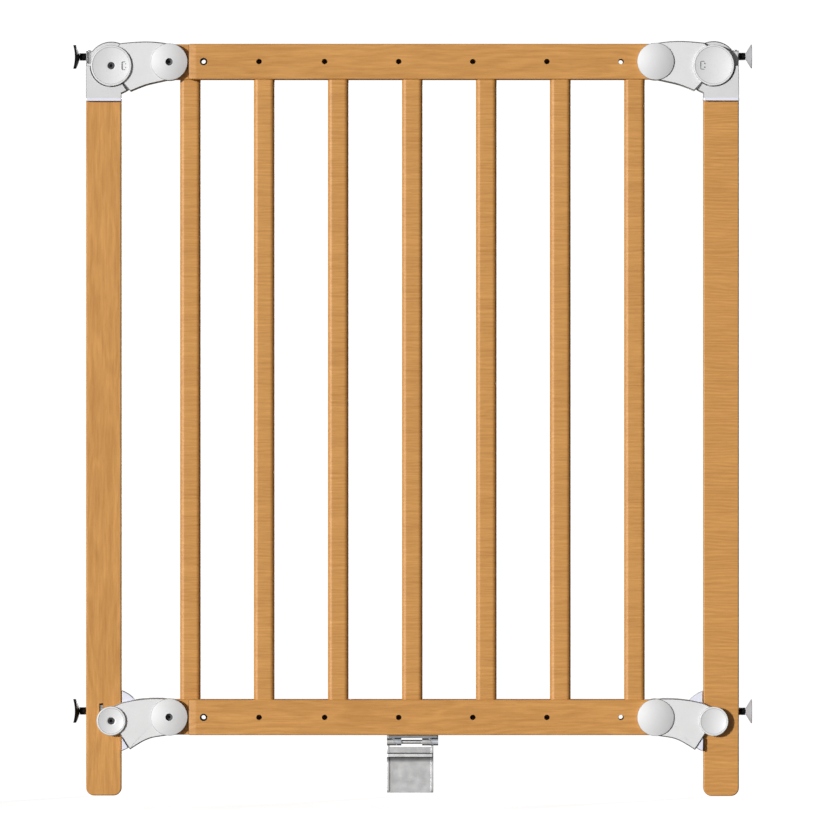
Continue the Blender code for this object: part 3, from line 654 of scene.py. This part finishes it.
def rail_mesh(level):
    """A rail drawn from above: its face slopes away towards its free end, and a cut rounds its other
    end about the pivot.
    """
    z, start = RAIL_Z[level], TOP_RAIL_LOW.x
    slope_x, round_x = RAIL_END_X - RAIL_END_SLOPE, RAIL_END_X - RAIL_END_ROUND
    outline = [(start, FACE), (start, -FACE)]
    outline += curve([(slope_x - 0.0010, -FACE), (slope_x, -FACE + 0.00005),
                      (slope_x + 0.0012, -FACE + 0.0002), (round_x, -FACE + RAIL_END_FALL)], 5)
    outline += arc(RAIL_END_ROUND, -math.pi / 2 + 0.25, 0.0, 6,
                   (round_x, -FACE + RAIL_END_FALL + RAIL_END_ROUND))
    outline += [(RAIL_END_X, FACE)]
    body = moved(prism(outline, z - RAIL_HALF_HEIGHT, z + RAIL_HALF_HEIGHT, EDGE_ROUND, EDGE_ROUND, 5),
                 ALONG_Z)
    reach = RAIL_HALF_HEIGHT + 0.005
    nose = arc(RAIL_HALF_HEIGHT, math.pi / 2, 1.5 * math.pi, 32, (RAIL_X, z))
    nose += [(RAIL_X, z - reach), (RAIL_X - reach, z - reach)]
    nose += [(RAIL_X - reach, z + reach), (RAIL_X, z + reach)]
    holes = [moved(hole_cutter(BOLT_HOLE_R), shifted(x, 0, z)) for x in BOLT_HOLES_X]
    holes += [moved(hole_cutter(END_HOLE_R), shifted(END_HOLE_X, 0, z))]
    holes += [drill(BORE_R, RAIL_X, z)]
    inward = -1 if level == "upper" else 1
    mouth, floor = sorted((z + inward * (RAIL_HALF_HEIGHT + 0.002),
                           z + inward * (RAIL_HALF_HEIGHT - MORTISE_DEPTH)))
    section = rounded_box(BAR_WIDTH + 2 * JOINT_GAP, BAR_DEPTH + 2 * JOINT_GAP, BAR_ROUND + JOINT_GAP)
    mortises = [moved(prism(section, mouth, floor), shifted(BAR_FIRST_X + i * BAR_SPACING) @ ALONG_Z)
                for i in range(BAR_COUNT)]
    return solid(body, cuts=[prism(nose, -THROUGH, THROUGH), joined(*holes), joined(*mortises)])


def grommet_mesh():
    """The bush in a rail's end hole, with a thin flange on its +y face; it is black as painted shade, the
    dark ring round the hole.
    """
    outer, inner, flange, edge = END_HOLE_R - HAIR, 0.0022, 0.0037, 0.0003
    front = FACE + edge
    profile = [(outer, -FACE), (inner + edge, -FACE), (inner, -FACE + edge), (inner, front - edge)]
    profile += [(inner + edge, front), (flange - edge / 2, front), (flange, front - edge / 2)]
    profile += [(flange, FACE + HAIR), (outer, FACE + HAIR), (outer, -FACE)]
    return turned(profile, 40)


def bar_mesh():
    """One bar, a rounded section that ends inside both rails."""
    reach = RAIL_HALF_HEIGHT - MORTISE_DEPTH + GAP
    low, high = RAIL_Z["lower"] + reach, RAIL_Z["upper"] - reach
    section = rounded_box(BAR_WIDTH, BAR_DEPTH, BAR_ROUND)
    return solid(moved(prism(section, low, high), ALONG_Z))


def build_timber():
    """Posts, rails and bars. The right post and the bars have their fibres running across them."""
    draw = random.Random(11)
    for side, half in HALVES.items():
        post = post_mesh()
        set_grain(post, "z" if side == "left" else "x", draw)
        add_piece(f"{side}_post_wood", post, WOOD, f"{side}_post", [f"{side}_post"], half)
        barred = FRAME_OF[side]
        for level, word in RAIL_NAME.items():
            rail = rail_mesh(level)
            set_grain(rail, "x", draw)
            add_piece(f"{barred}_{word}_rail_wood", rail, RAIL_WOOD, f"{barred}_frame",
                      [f"{barred}_{word}_rail"], half)
            # The bush's black is painted shade round the end hole.
            add_piece(f"{barred}_{word}_rail_bush", grommet_mesh(), SHADE_BLACK,
                      f"{barred}_frame", (), half @ shifted(END_HOLE_X, 0, RAIL_Z[level]))
        first = bar_mesh()
        for number in range(1, BAR_COUNT + 1):
            bar = first.copy()
            bar.transform(shifted(BAR_FIRST_X + (number - 1) * BAR_SPACING))
            set_grain(bar, "x", draw)
            add_piece(f"{barred}_bar_{number}_wood", bar, BAR_WOOD, f"{barred}_frame",
                      [f"{barred}_bar_{number}"], half)


# ---- mouldings ----

def arm_outline(level):
    """The outline of a cheek about the post pivot."""
    rail = (RAIL_X - POST_X, ARM_RISE)
    eye = arc(EYE_R[level], STOP_ANGLE, EYE_END[level], 60)
    if level == "upper":
        top = [(0.0092, 0.0226), (0.0207, 0.0237), (0.0320, 0.0243), (0.0420, 0.0241), (0.0510, 0.0232)]
        bottom = [(0.0500, -0.0160), (0.0370, -0.0190), (0.0287, -0.0219), (0.0193, -0.0258)]
    else:
        top = [(0.0103, 0.0184), (0.0237, 0.0211), (0.0380, 0.0227), (0.0510, 0.0229)]
        bottom = [(0.0500, -0.0155), (0.0407, -0.0171), (0.0327, -0.0202), (0.0250, -0.0247),
                  (0.0187, -0.0287)]
    end = arc(ARM_END_R, math.radians(92), math.radians(-94), 48, rail)
    return eye + curve(top) + end + curve(bottom)


def arm_mesh(level):
    """A fork arm: two cheeks with soft rims, joined by a web, and bored for its two pivots."""
    rail = (RAIL_X - POST_X, ARM_RISE)
    web_y = (CHEEK_INNER + CHEEK_OUTER) / 2
    web = arc(0.0329, math.radians(-35), math.radians(14), 16)
    web += arc(0.0187, math.radians(142), math.radians(222), 24, rail)
    outline = arm_outline(level)
    cheeks = [prism(outline, -CHEEK_OUTER, -CHEEK_INNER, MOULD_ROUND, 0.0, 6, MOULD_STRETCH),
              prism(outline, CHEEK_INNER, CHEEK_OUTER, 0.0, MOULD_ROUND, 6, MOULD_STRETCH)]
    return solid(prism(web, -web_y, web_y), unions=[joined(*cheeks)],
                 cuts=[joined(drill(BORE_R), drill(BORE_R, *rail))])


def bracket_mesh():
    """The hinge head on the post: a boss inside the fork and a thick socket with the arm's stop."""
    left, right, bottom = BRACKET_SIDES
    nut_box = 0.0149
    core = [(left, bottom), (right, bottom)]
    core += arc(GUARD_R, -math.acos(right / GUARD_R), math.radians(35), 24)
    core += arc(HEAD_R, math.radians(35), math.pi - math.asin(nut_box / HEAD_R), 48)
    core += [(left, nut_box)]
    stop = STOP_ANGLE - STOP_CLEARANCE
    lug_r = GUARD_R - 0.0005
    thick = [(left, bottom), (right, bottom)]
    thick += arc(lug_r, -math.acos(right / lug_r), stop, 4)
    thick += arc(0.0209, stop, -math.pi, 48)
    thick += [(left, 0.0)]
    middle = (left + right) / 2
    socket = box((middle - 0.0138, -0.0063, bottom - 0.01), (middle + 0.0138, 0.0063, bottom + 0.021))
    bore, slot = spindle_cutters(left, SPINDLE_BORE_END - POST_X, NUT_X["upper"] - POST_X,
                                 SPINDLE_Z["upper"] - POST_Z["upper"])
    return solid(prism(core, -FACE, FACE, MOULD_ROUND, MOULD_ROUND, 5, MOULD_STRETCH),
                 unions=[prism(thick, -CHEEK_OUTER, CHEEK_OUTER, 0.0008, 0.0008, 5, MOULD_STRETCH)],
                 cuts=[drill(BORE_R), socket, bore, slot])


def collar_mesh():
    """The thin lip that closes the bracket on the post."""
    left, right, bottom = BRACKET_SIDES
    outline = rounded_box(right - left + 0.0003, 2 * CHEEK_OUTER + 0.0006, 0.0012, 4)
    band = moved(prism(outline, bottom, bottom + 0.0030, 0.0002, 0.0008, 4), ALONG_Z)
    band = moved(band, shifted((left + right) / 2))
    hollow = box((left + 0.0004, -CHEEK_OUTER + 0.0004, bottom - 0.01),
                 (right - 0.0004, CHEEK_OUTER - 0.0004, bottom + 0.01))
    return solid(band, cuts=[hollow])


def plate_mesh():
    """The half-round guard on the post, with its stop lug and its two pegs."""
    face = POST_HIGH.x - POST_X + GAP
    edge = math.acos(face / PLATE_R)
    stop = STOP_ANGLE - STOP_CLEARANCE
    guard = prism(arc(PLATE_R, -edge, edge, 48), -PLATE_HALF_DEPTH, PLATE_HALF_DEPTH, 0.0010, 0.0010, 5,
                  MOULD_STRETCH)
    lug_r = PLATE_R - 0.0005
    lug = arc(lug_r, -math.acos(face / lug_r), stop, 4) + [(face, face * math.tan(stop))]
    pegs = [moved(cylinder(0.003, face - 0.0125, face + 0.002), shifted(z=side * 0.020) @ ALONG_X)
            for side in (-1, 1)]
    return solid(guard, unions=[prism(lug, -CHEEK_OUTER, CHEEK_OUTER, 0.0006, 0.0006, 5, MOULD_STRETCH),
                                joined(*pegs)])


def dished_front(radius):
    """Front of a post cover from the rim inwards: a raised rim round a shallow bowl."""
    rim, height, floor = 0.0016, 0.0022, 0.0002
    profile = [(radius, 0.0)]
    profile += quarter(0.0009, (radius - 0.0009, height - 0.0009), 0, 90)
    inner = radius - rim
    profile += quarter(0.0005, (inner + 0.0001, height - 0.0005), 90, 160, 4)
    lip, lip_height = inner - 0.0005, height - 0.0002
    bowl = [(lip * share, floor + (lip_height - floor) * share ** 2) for share in
            (i / 12 for i in range(12, 0, -1))]
    return profile + bowl + [(0.0, floor)]


def domed_front(radius):
    """Front of a rail cover: a low dome with a soft rim."""
    rim_height, height = 0.0012, 0.0043
    profile = [(radius, 0.0)]
    profile += quarter(0.0009, (radius - 0.0009, rim_height - 0.0009), 0, 70)
    start = profile[-1]
    dome = [(start[0] * share, start[1] + (height - start[1]) * (1 - share ** 2)) for share in
            (i / 14 for i in range(13, 0, -1))]
    return profile + dome + [(0.0, height)]


def cover_front(end, level):
    return (dished_front if end == "post" else domed_front)(COVER_R[end, level])


def cap_mesh(end, level):
    """The smooth cover with the pivot sleeve on its back."""
    profile = [(r, COVER_BACK + height) for r, height in reversed(cover_front(end, level))]
    outer, inner = 0.0042, 0.0022
    profile += [(outer, COVER_BACK), (outer, -CHEEK_OUTER), (inner, -CHEEK_OUTER), (inner, CHEEK_INNER)]
    return turned(profile + [(0.0, CHEEK_INNER)])


def screw_disc_mesh(end, level):
    """The cover on the screw side, its centre sunk for the screw's head."""
    front = cover_front(end, level)
    recess, edge = 0.0036, 0.0003
    outer = [(r, height) for r, height in front if r > recess + edge * 1.5]
    last = front[-1][1]
    profile = [(recess, 0.0)] + outer
    profile += [(recess + edge, last), (recess + 0.3 * edge, last - 0.2 * edge), (recess, last - edge)]
    profile += [(recess, 0.0)]
    return turned([(r, -COVER_BACK - height) for r, height in profile])


def screw_mesh(end):
    """A dished head that fills the disc's recess, with a deep round socket down its shank."""
    low = -COVER_BACK
    top = low - (0.0001 if end == "post" else 0.0016)
    radius, shank, socket, depth = 0.00355, 0.0020, 0.0015, 0.0040
    profile = [(0.0, low + 0.0060), (shank, low + 0.0060), (shank, low), (radius, low)]
    profile += [(radius, top + 0.0002), (radius - 0.0002, top)]
    profile += [(socket + (radius - 0.0002 - socket) * (1 - t), top + 0.0003 * t)
                for t in (0.3, 0.6, 0.9, 1.0)]
    profile += [(socket, top + depth), (0.0, top + depth)]
    return turned(profile, 48, 45)


def mark_mesh():
    """A small generic mark for the upper post cover: an open bracket and two dots."""
    wide, tall, line = 0.0036, 0.0086, 0.0008
    outline = [(wide, tall / 2), (line, tall / 2), (0.0, tall / 2 - line), (0.0, -tall / 2 + line),
               (line, -tall / 2), (wide, -tall / 2), (wide, -tall / 2 + line), (line * 1.3, -tall / 2 + line),
               (line, -tall / 2 + line * 1.3), (line, tall / 2 - line * 1.3), (line * 1.3, tall / 2 - line),
               (wide, tall / 2 - line)]
    dot = 0.0006
    dots = [moved(cylinder(dot, 0.0, MARK_DEPTH, 16), shifted(wide + dot, 0, side * 0.0019))
            for side in (-1, 1)]
    return solid(prism(outline, 0.0, MARK_DEPTH), unions=[joined(*dots)])


def build_mouldings():
    for side, half in HALVES.items():
        post_body, frame_body = f"{side}_post", f"{FRAME_OF[side]}_frame"
        head = half @ shifted(POST_X, 0, POST_Z["upper"])
        add_piece(f"{side}_corner_bracket_moulding", bracket_mesh(), BRACKET_WHITE,
                  post_body, [f"{side}_corner_bracket"], head)
        add_piece(f"{side}_corner_bracket_collar", collar_mesh(), LIP_WHITE,
                  post_body, (), head)
        add_piece(f"{side}_lower_hinge_plate_moulding", plate_mesh(), LIP_WHITE, post_body,
                  [f"{side}_lower_hinge_plate"], half @ shifted(POST_X, 0, POST_Z["lower"]))
        for level in RAIL_NAME:
            pivot = half @ shifted(POST_X, 0, POST_Z[level])
            name = f"{side}_{level}_arm"
            add_piece(f"{name}_moulding", arm_mesh(level), WHITE, name, [name], pivot)
            rail_pivot = half @ shifted(RAIL_X, 0, RAIL_Z[level])
            for end, body, place in (("post", post_body, pivot), ("rail", frame_body, rail_pivot)):
                name = f"{side}_{level}_{end}"
                look = COVER_WHITE if end == "post" else DOME_WHITE
                add_piece(f"{name}_cap_moulding", cap_mesh(end, level), look, body,
                          [f"{name}_cap"], place)
                add_piece(f"{name}_screw_disc_moulding", screw_disc_mesh(end, level), look,
                          body, [f"{name}_screw_disc"], place)
                add_piece(f"{name}_pivot_screw", screw_mesh(end), SCREW, body, (), place)


def build_marks():
    """The mark stands on the front face of each upper post cover, towards the gate's middle."""
    for side, offset in (("left", 0.0102), ("right", -0.0138)):
        pivot = HALVES[side] @ Vector((POST_X, 0, POST_Z["upper"]))
        front = pivot.y - COVER_BACK - MARK_FRONT
        add_piece(f"{side}_upper_post_mark", mark_mesh(), MARK_GREY, f"{side}_post", (),
                  shifted(pivot.x + offset, front, pivot.z))


# ---- spindles, pads and nuts ----

def pad_mesh(side):
    """A cone pad with a bored neck: on the left a full skirt and a hollowed wall face, as one for a
    round newel; on the right a straight cone with a flat face.
    """
    height = PAD_NECK_X - PAD_FACE_X
    profile = [(0.0, 0.0038), (0.0021, 0.0038), (0.0021, 0.0)]
    profile += [(0.0036, 0.0), (0.0039, 0.0003)]
    if side == "left":
        profile += curve([(0.0040, 0.0004), (0.0058, 0.0008), (0.0088, 0.0019), (0.0112, 0.0030)], 6)
        profile += [(0.0117, 0.0034), (PAD_R, 0.0039)]
    else:
        profile += curve([(0.0040, 0.0005), (0.0064, 0.0019), (0.0089, 0.0035), (0.0114, 0.0050)], 6)
        profile += [(0.0117, 0.0052), (PAD_R, 0.0054)]
    profile += [(PAD_R, height - 0.0003), (PAD_R - 0.0003, height), (0.0, height)]
    if side == "right":
        return turned(profile, sharp=40)
    sink = 0.0019
    sweep = (PAD_R ** 2 + sink ** 2) / (2 * sink)
    hollow = moved(cylinder(sweep, -2 * PAD_R, 2 * PAD_R, 160), shifted(y=height - sink + sweep) @ ALONG_X)
    return solid(lathe(profile), cuts=[hollow], weighted=False, sharp=40)


def thread_rings(start, end, radius, depth, turn_steps=40, pitch_steps=10):
    """Rings of a threaded rod along y: the radius follows the helix."""
    rings = []
    count = int((end - start) / PITCH * pitch_steps)
    for i in range(count + 1):
        y = start + (end - start) * i / count
        ring = []
        for j in range(turn_steps):
            angle = j / turn_steps * math.tau
            phase = (y / PITCH - j / turn_steps) % 1.0
            crest = 1.0 - abs(2 * phase - 1.0)
            r = radius - depth * min(1.0, max(0.0, 1.25 * crest - 0.1))
            ring.append((r * math.cos(angle), y, r * math.sin(angle)))
        rings.append(ring)
    return rings


def spindle_mesh():
    """The threaded rod, with a plain pin into its pad."""
    shoulder = SPINDLE_INNER_X - PAD_NECK_X - GAP
    rings = thread_rings(0.0005, shoulder - 0.0004, SPINDLE_R, 0.0004)
    tip = [[(0.88 * x, 0.0, 0.88 * z) for x, y, z in rings[0]]]
    tail = [[(0.93 * x, shoulder, 0.93 * z) for x, y, z in rings[-1]]]
    rod = loft(tip + rings + tail)
    pin = lathe([(0.0, shoulder - 0.001), (0.0018, shoulder - 0.001), (0.0018, shoulder + 0.0030),
                 (0.0016, shoulder + 0.0032), (0.0, shoulder + 0.0032)], 24)
    return solid(joined(rod, pin), weighted=False, sharp=70)


def nut_mesh():
    """A square nut, bored along x."""
    square = rounded_box(NUT_WIDTH, NUT_WIDTH, 0.0008, 3)
    bore = cylinder(SPINDLE_R + GAP, -0.01, 0.01)
    half = NUT_THICKNESS / 2
    return solid(moved(prism(square, -half, half, 0.0005, 0.0005, 3), ALONG_X), cuts=[moved(bore, ALONG_X)])


def build_spindles():
    """Pads on threaded spindles and nuts: grey at the right, and at the left black, the same pads in painted
    shade.
    """
    for side, half in HALVES.items():
        # The left pads' black is painted shade.
        look, slot = (SHADE_BLACK, "black_plastic") if side == "left" else (GREY, "grey_rubber")
        for level, z in SPINDLE_Z.items():
            name = f"{side}_{level}"
            add_piece(f"{name}_wall_pad_moulding", pad_mesh(side), look, f"{name}_pad",
                      [f"{name}_wall_pad"], half @ shifted(PAD_NECK_X, 0, z) @ OUTWARD)
            add_piece(f"{name}_spindle_thread", spindle_mesh(), THREAD, f"{name}_spindle",
                      [f"{name}_spindle"], half @ shifted(SPINDLE_INNER_X, 0, z) @ OUTWARD)
            add_piece(f"{name}_spindle_nut_metal", nut_mesh(), NUT_ZINC, f"{side}_post",
                      [f"{name}_spindle_nut"], half @ shifted(NUT_X[level], 0, z))


# ---- foot, about the middle of its pin ----

def knuckle(left, right, slant_left, slant_right, steps=40):
    """A rolled hinge tube along x; a slanted end lies further right at the bottom."""
    bm = bmesh.new()
    rings = []
    for radius in (KNUCKLE_R, PIN_R + GAP):
        for x, slant in ((left, slant_left), (right, slant_right)):
            lean = KNUCKLE_SLANT / KNUCKLE_R if slant else 0.0
            points = circle(radius, steps)
            rings.append([bm.verts.new((x - lean * z, y, z)) for y, z in points])
    outer_left, outer_right, inner_left, inner_right = rings
    for a, b in ((outer_left, outer_right), (outer_right, inner_right),
                 (inner_right, inner_left), (inner_left, outer_left)):
        for i in range(steps):
            bm.faces.new((a[i], a[i - 1], b[i - 1], b[i]))
    return bm


def leaf_mesh():
    """The leaf under the rail: a plate, two knuckles on necks, and a sink for each screw's head."""
    top, left, right = LEAF_HIGH.z - PIN.z, LEAF_LOW.x, LEAF_HIGH.x
    bottom = top - LEAF_THICKNESS
    plate = rounded_box(right - left, 0.017, 0.0015, 5)
    leaf = moved(prism(plate, bottom, top, 0.0003, 0.0003, 3), shifted((left + right) / 2) @ ALONG_Z)
    shapes = []
    for start, end, slant_left, slant_right in FIXED_KNUCKLES:
        shapes.append(box((start + 0.0003, 0.0006, PIN_R + 0.0009), (end - 0.0003, 0.0032, bottom + 0.0005)))
        shapes.append(knuckle(start, end, slant_left, slant_right))
    holes = [moved(cylinder(0.0036, bottom - 0.001, bottom + 0.0012), shifted(x) @ ALONG_Z)
             for x in FOOT_SCREWS_X]
    return solid(leaf, unions=shapes, cuts=[joined(*holes)], sharp=40)


def flap_mesh():
    """A pressed flap: a back plate with round corners, two flanges and a stepped front band."""
    bottom = FLAP_LOW.z - PIN.z
    left, right = FLAP_LOW.x, FLAP_HIGH.x
    inner_left, inner_right = left + 0.001, right - 0.001
    top = BAND_BOTTOM + 0.0008
    width, height = inner_right - inner_left, top - bottom
    outline = rounded_box(width, height, 0.0022, 6)
    plate = moved(prism(outline, -0.0022, -0.0006, 0.0003, 0.0003, 3),
                  shifted((inner_left + inner_right) / 2, 0, (top + bottom) / 2))
    side = [(0.0032, bottom + 0.003)]
    side += curve([(0.0029, bottom + 0.0014), (0.0019, bottom + 0.0003), (0.0008, bottom)], 4)
    side += [(-0.0028, bottom), (-0.0034, bottom + 0.0004), (-0.0036, bottom + 0.0010)]
    side += [(-0.0036, -0.0062), (-0.0022, -0.0030), (0.0022, -0.0030), (0.0032, -0.0055)]
    flanges = [moved(prism(side, x, x + 0.0026, 0.0004, 0.0004, 3), ALONG_X) for x in (left, right - 0.0026)]
    band = box((inner_left, -0.0030, BAND_BOTTOM), (inner_right, -0.0012, -0.0051), 0.0003)
    lip = box((inner_left, -0.0048, LIP_BOTTOM), (inner_right, -0.0008, LIP_TOP), 0.0004)
    cove_depth, cove_height = 0.0022, COVE_BOTTOM - LIP_BOTTOM
    cove = [(-0.0008, LIP_BOTTOM + 0.0004), (-2 * cove_depth, LIP_BOTTOM + 0.0004)]
    cove += [(-cove_depth - cove_depth * math.cos(t), LIP_BOTTOM + cove_height * math.sin(t))
             for t in (i / 10 * math.pi / 2 for i in range(11))]
    cove += [(-0.0008, COVE_BOTTOM)]
    cove = moved(prism(cove, inner_left + 0.0005, inner_right - 0.0005), ALONG_X)
    knuckles = [knuckle(*ends) for ends in FLAP_KNUCKLES]
    return solid(plate, unions=[*flanges, band, lip, cove, *knuckles], sharp=40)


def pin_mesh():
    """The pin, with a peened dome on both ends."""
    left, right = LEAF_LOW.x + GAP, LEAF_HIGH.x - GAP
    dome = 0.0006
    profile = [(0.0, left)] + [(PIN_R * math.sin(a), left + dome * (1 - math.cos(a))) for a in
                               (i / 6 * math.pi / 2 for i in range(1, 7))]
    profile += [(PIN_R * math.cos(a), right - dome * (1 - math.sin(a))) for a in
                (i / 6 * math.pi / 2 for i in range(0, 6))] + [(0.0, right)]
    return solid(moved(lathe(profile, 40), ALONG_X), weighted=False, sharp=60)


def foot_screw_mesh():
    """A countersunk wood screw with a cross recess, point up in the rail."""
    head, shank, length = 0.0033, 0.0016, 0.0125
    profile = [(0.0, 0.0), (head * 0.9, 0.0), (head, 0.0002), (head, 0.0005), (shank, 0.0012)]
    profile += [(shank, length - 0.003), (0.0, length)]
    reach, half = 0.0019, 0.0004
    blades = [box((-x, -y, -0.001), (x, y, 0.0007)) for x, y in ((reach, half), (half, reach))]
    return solid(moved(lathe(profile, 40), ALONG_Z), cuts=blades, sharp=40)


def build_foot():
    place = Matrix.Translation(PIN)
    add_piece("foot_leaf_metal", leaf_mesh(), LEAF_ZINC, "front_frame", ["foot_leaf"], place)
    under = LEAF_HIGH.z - LEAF_THICKNESS - PIN.z
    for word, x in zip(("left", "right"), FOOT_SCREWS_X):
        add_piece(f"foot_{word}_screw_metal", foot_screw_mesh(), NUT_ZINC, "front_frame",
                  [f"foot_{word}_screw"], place @ shifted(x, 0, under))
    add_piece("foot_pin_metal", pin_mesh(), PIN_ZINC, "foot_pin", ["foot_pin"], place)
    add_piece("foot_flap_metal", flap_mesh(), ZINC, "foot_flap", ["foot_flap"], place)


# ---- stage, camera and light ----

CAMERA_MIDDLE = Vector((0.0012, 0.0, 0.382))
VIEW_WIDTH = 0.827
LENS, SENSOR = 600.0, 36.0
FLOOR_R = 1.3
FLOOR_GLOW = 0.85
BACKGROUND = 1.05
SOFT_BOX_SIDE = (-0.66, -0.74, 0.12)
SOFT_BOX_EDGE, SOFT_BOX_FULL = 0.4, 0.95
SOFT_BOX, AMBIENT = 0.45, 0.02
# Each sun's side, strength and width in degrees
KEY = ((-0.63, -0.76, 0.16), 3.65, 5)
BACK = ((0.40, 0.90, 0.18), 2.6, 10)


def camera_only(tree, seen, lit):
    """A shader that shows one colour to the camera and gives another as light."""
    path = tree.nodes.new("ShaderNodeLightPath")
    mix = tree.nodes.new("ShaderNodeMixShader")
    tree.links.new(path.outputs["Is Camera Ray"], mix.inputs[0])
    tree.links.new(lit.outputs[0], mix.inputs[1])
    tree.links.new(seen.outputs[0], mix.inputs[2])
    return mix


def build_world():
    """A white background that lights the gate as a wide soft box from the left front."""
    world = bpy.data.worlds.new("studio")
    bpy.context.scene.world = world
    world.use_nodes = True
    tree = world.node_tree
    seen, lit = tree.nodes["Background"], tree.nodes.new("ShaderNodeBackground")
    seen.inputs["Color"].default_value = (1, 1, 1, 1)
    seen.inputs["Strength"].default_value = BACKGROUND
    direction = tree.nodes.new("ShaderNodeTexCoord").outputs["Generated"]
    facing = tree.nodes.new("ShaderNodeVectorMath")
    facing.operation = "DOT_PRODUCT"
    tree.links.new(direction, facing.inputs[0])
    facing.inputs[1].default_value = SOFT_BOX_SIDE
    span = tree.nodes.new("ShaderNodeMapRange")
    span.interpolation_type = "SMOOTHSTEP"
    tree.links.new(facing.outputs["Value"], span.inputs["Value"])
    for name, value in (("From Min", SOFT_BOX_EDGE), ("From Max", SOFT_BOX_FULL),
                        ("To Min", AMBIENT), ("To Max", SOFT_BOX)):
        span.inputs[name].default_value = value
    lit.inputs["Color"].default_value = (1, 1, 1, 1)
    tree.links.new(span.outputs[0], lit.inputs["Strength"])
    mix = camera_only(tree, seen, lit)
    tree.links.new(mix.outputs[0], tree.nodes["World Output"].inputs["Surface"])


def build_floor():
    bm = bmesh.new()
    bmesh.ops.create_circle(bm, cap_ends=True, radius=FLOOR_R, segments=128)
    floor = new_object("studio_floor", to_mesh(bm, "studio_floor"))
    floor.location.z = -0.0003
    look = Look("studio_floor", roughness=0.9)
    mottle = look.noise(look.coordinates(), 4.0, 2.0)
    look.set("Base Color", look.ramp(mottle, (0.3, grey(0.33)), (0.7, grey(0.37))))
    glow = look.node("Emission", {"Color": (1, 1, 1, 1), "Strength": FLOOR_GLOW})
    nothing = look.node("Emission", {"Strength": 0.0})
    extra = camera_only(look.tree, glow, nothing)
    total = look.node("AddShader", {0: look.shader.outputs[0], 1: extra.outputs[0]})
    look.tree.links.new(total.outputs[0], look.tree.nodes["Material Output"].inputs["Surface"])
    floor.data.materials.append(look.material)


def add_sun(name, towards, strength, softness):
    """A far light that shines from the given side; softness is its width in degrees."""
    light = bpy.data.lights.new(name, "SUN")
    light.energy = strength
    light.angle = math.radians(softness)
    item = new_object(name, light)
    item.rotation_euler = Vector(towards).to_track_quat("Z", "Y").to_euler()
    item.location = Vector(towards) * 3


def build_lights():
    add_sun("key", *KEY)
    add_sun("back", *BACK)


def build_camera():
    camera = bpy.data.cameras.new("camera")
    camera.lens = LENS
    camera.sensor_width = SENSOR
    camera.clip_end = 60.0
    item = new_object("camera", camera)
    distance = VIEW_WIDTH * LENS / SENSOR
    item.location = CAMERA_MIDDLE - Vector((0, distance, 0))
    item.rotation_euler = (math.pi / 2, 0, 0)
    bpy.context.scene.camera = item
    bpy.context.scene.view_settings.view_transform = "Standard"


build_timber()
build_mouldings()
build_marks()
build_spindles()
build_foot()
build_world()
build_floor()
build_lights()
build_camera()
